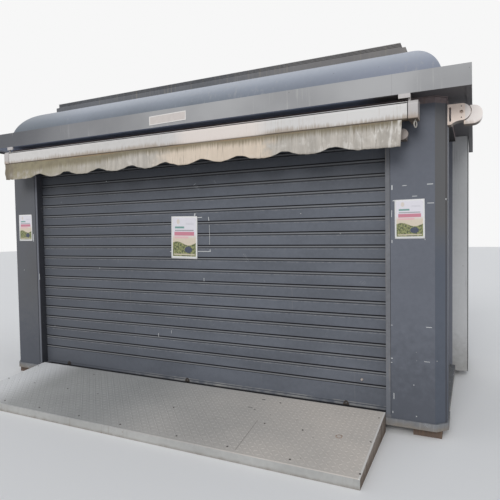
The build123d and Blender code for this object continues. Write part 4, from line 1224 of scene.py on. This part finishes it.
def makeKnob():
    verts = []
    for radius, forward in knob["profile"]:
        for step in range(knob["steps"]):
            angle = 2 * math.pi * step / knob["steps"]
            verts.append((knob["x"] + radius * math.cos(angle), knob["y"] - forward,
                          knob["z"] + radius * math.sin(angle)))
    return verts, ringFaces(len(knob["profile"]), knob["steps"])


slatKnob = finishMesh(newPiece("slatKnob", *makeKnob(), metals["armGrey"], smooth=True))
rideOn(slatKnob)
print("lugs and knob fitted")

# tape scraps, chips and scuffs: left, right, bottom, top and how far the top leans
scraps = {
    "shutterScraps": dict(plane=slatFace, places=[
        (0.108, 0.164, 1.683, 1.689, 0.0), (0.233, 0.239, 1.653, 1.688, -0.004),
        (0.112, 0.249, 1.371, 1.377, 0.0), (0.2385, 0.2415, 1.435, 1.618, 0.0),
        (0.171, 0.175, 1.100, 1.130, 0.0), (-0.965, -0.957, 2.080, 2.086, 0.0),
        (0.240, 0.247, 1.377, 1.392, 0.0), (-0.196, -0.180, 1.368, 1.374, 0.0),
        (0.078, 0.090, 1.703, 1.725, 0.006), (-0.356, -0.351, 0.545, 0.577, 0.0),
        (-0.203, -0.200, 0.586, 0.618, 0.0)]),
    "rightColumnScraps": dict(plane=columnFace, places=[
        (1.857, 1.865, 1.842, 1.876, 0.0), (1.930, 1.960, 1.866, 1.871, 0.010),
        (2.106, 2.147, 1.867, 1.873, 0.0), (2.109, 2.153, 1.731, 1.736, 0.0),
        (1.855, 1.859, 1.640, 1.690, 0.002), (1.857, 1.862, 1.446, 1.468, 0.0),
        (2.231, 2.235, 1.750, 1.764, 0.0), (1.867, 1.871, 0.264, 0.310, 0.0),
        (1.859, 1.863, 0.155, 0.171, 0.0), (2.027, 2.034, 0.152, 0.159, 0.0),
        (2.010, 2.015, 0.386, 0.392, 0.0), (1.864, 1.880, 1.757, 1.764, 0.004),
        (2.090, 2.094, 1.466, 1.476, 0.0), (2.004, 2.038, 1.786, 1.790, 0.0),
        (2.098, 2.138, 0.826, 0.830, 0.0), (2.085, 2.125, 0.571, 0.574, 0.0),
        (1.848, 1.862, 0.572, 0.577, 0.0), (1.848, 1.858, 0.541, 0.545, 0.0),
        (1.848, 1.862, 0.825, 0.828, 0.0)]),
    "leftColumnScraps": dict(plane=columnFace, places=[
        (-2.122, -2.114, 1.159, 1.166, 0.0), (-1.883, -1.879, 1.060, 1.127, 0.0),
        (-1.960, -1.950, 1.480, 1.560, 0.0)]),
}
boxFaces = ((0, 1, 2, 3), (7, 6, 5, 4), (0, 4, 5, 1), (1, 5, 6, 2), (2, 6, 7, 3), (3, 7, 4, 0))
tapeFront, tapeBack = 0.0006, 0.0004


def makeScraps(plane, places):
    verts, faces = [], []
    for left, right, low, high, lean in places:
        faces += [tuple(len(verts) + corner for corner in face) for face in boxFaces]
        for y in (plane - tapeFront, plane + tapeBack):
            verts += [(left, y, low), (right, y, low), (right + lean, y, high), (left + lean, y, high)]
    return verts, faces


for scrapName, scrap in scraps.items():
    piece = newPiece(scrapName, *makeScraps(scrap["plane"], scrap["places"]), metals["oldTape"])
    rideOn(finishMesh(piece))
print("tape scraps stuck on")
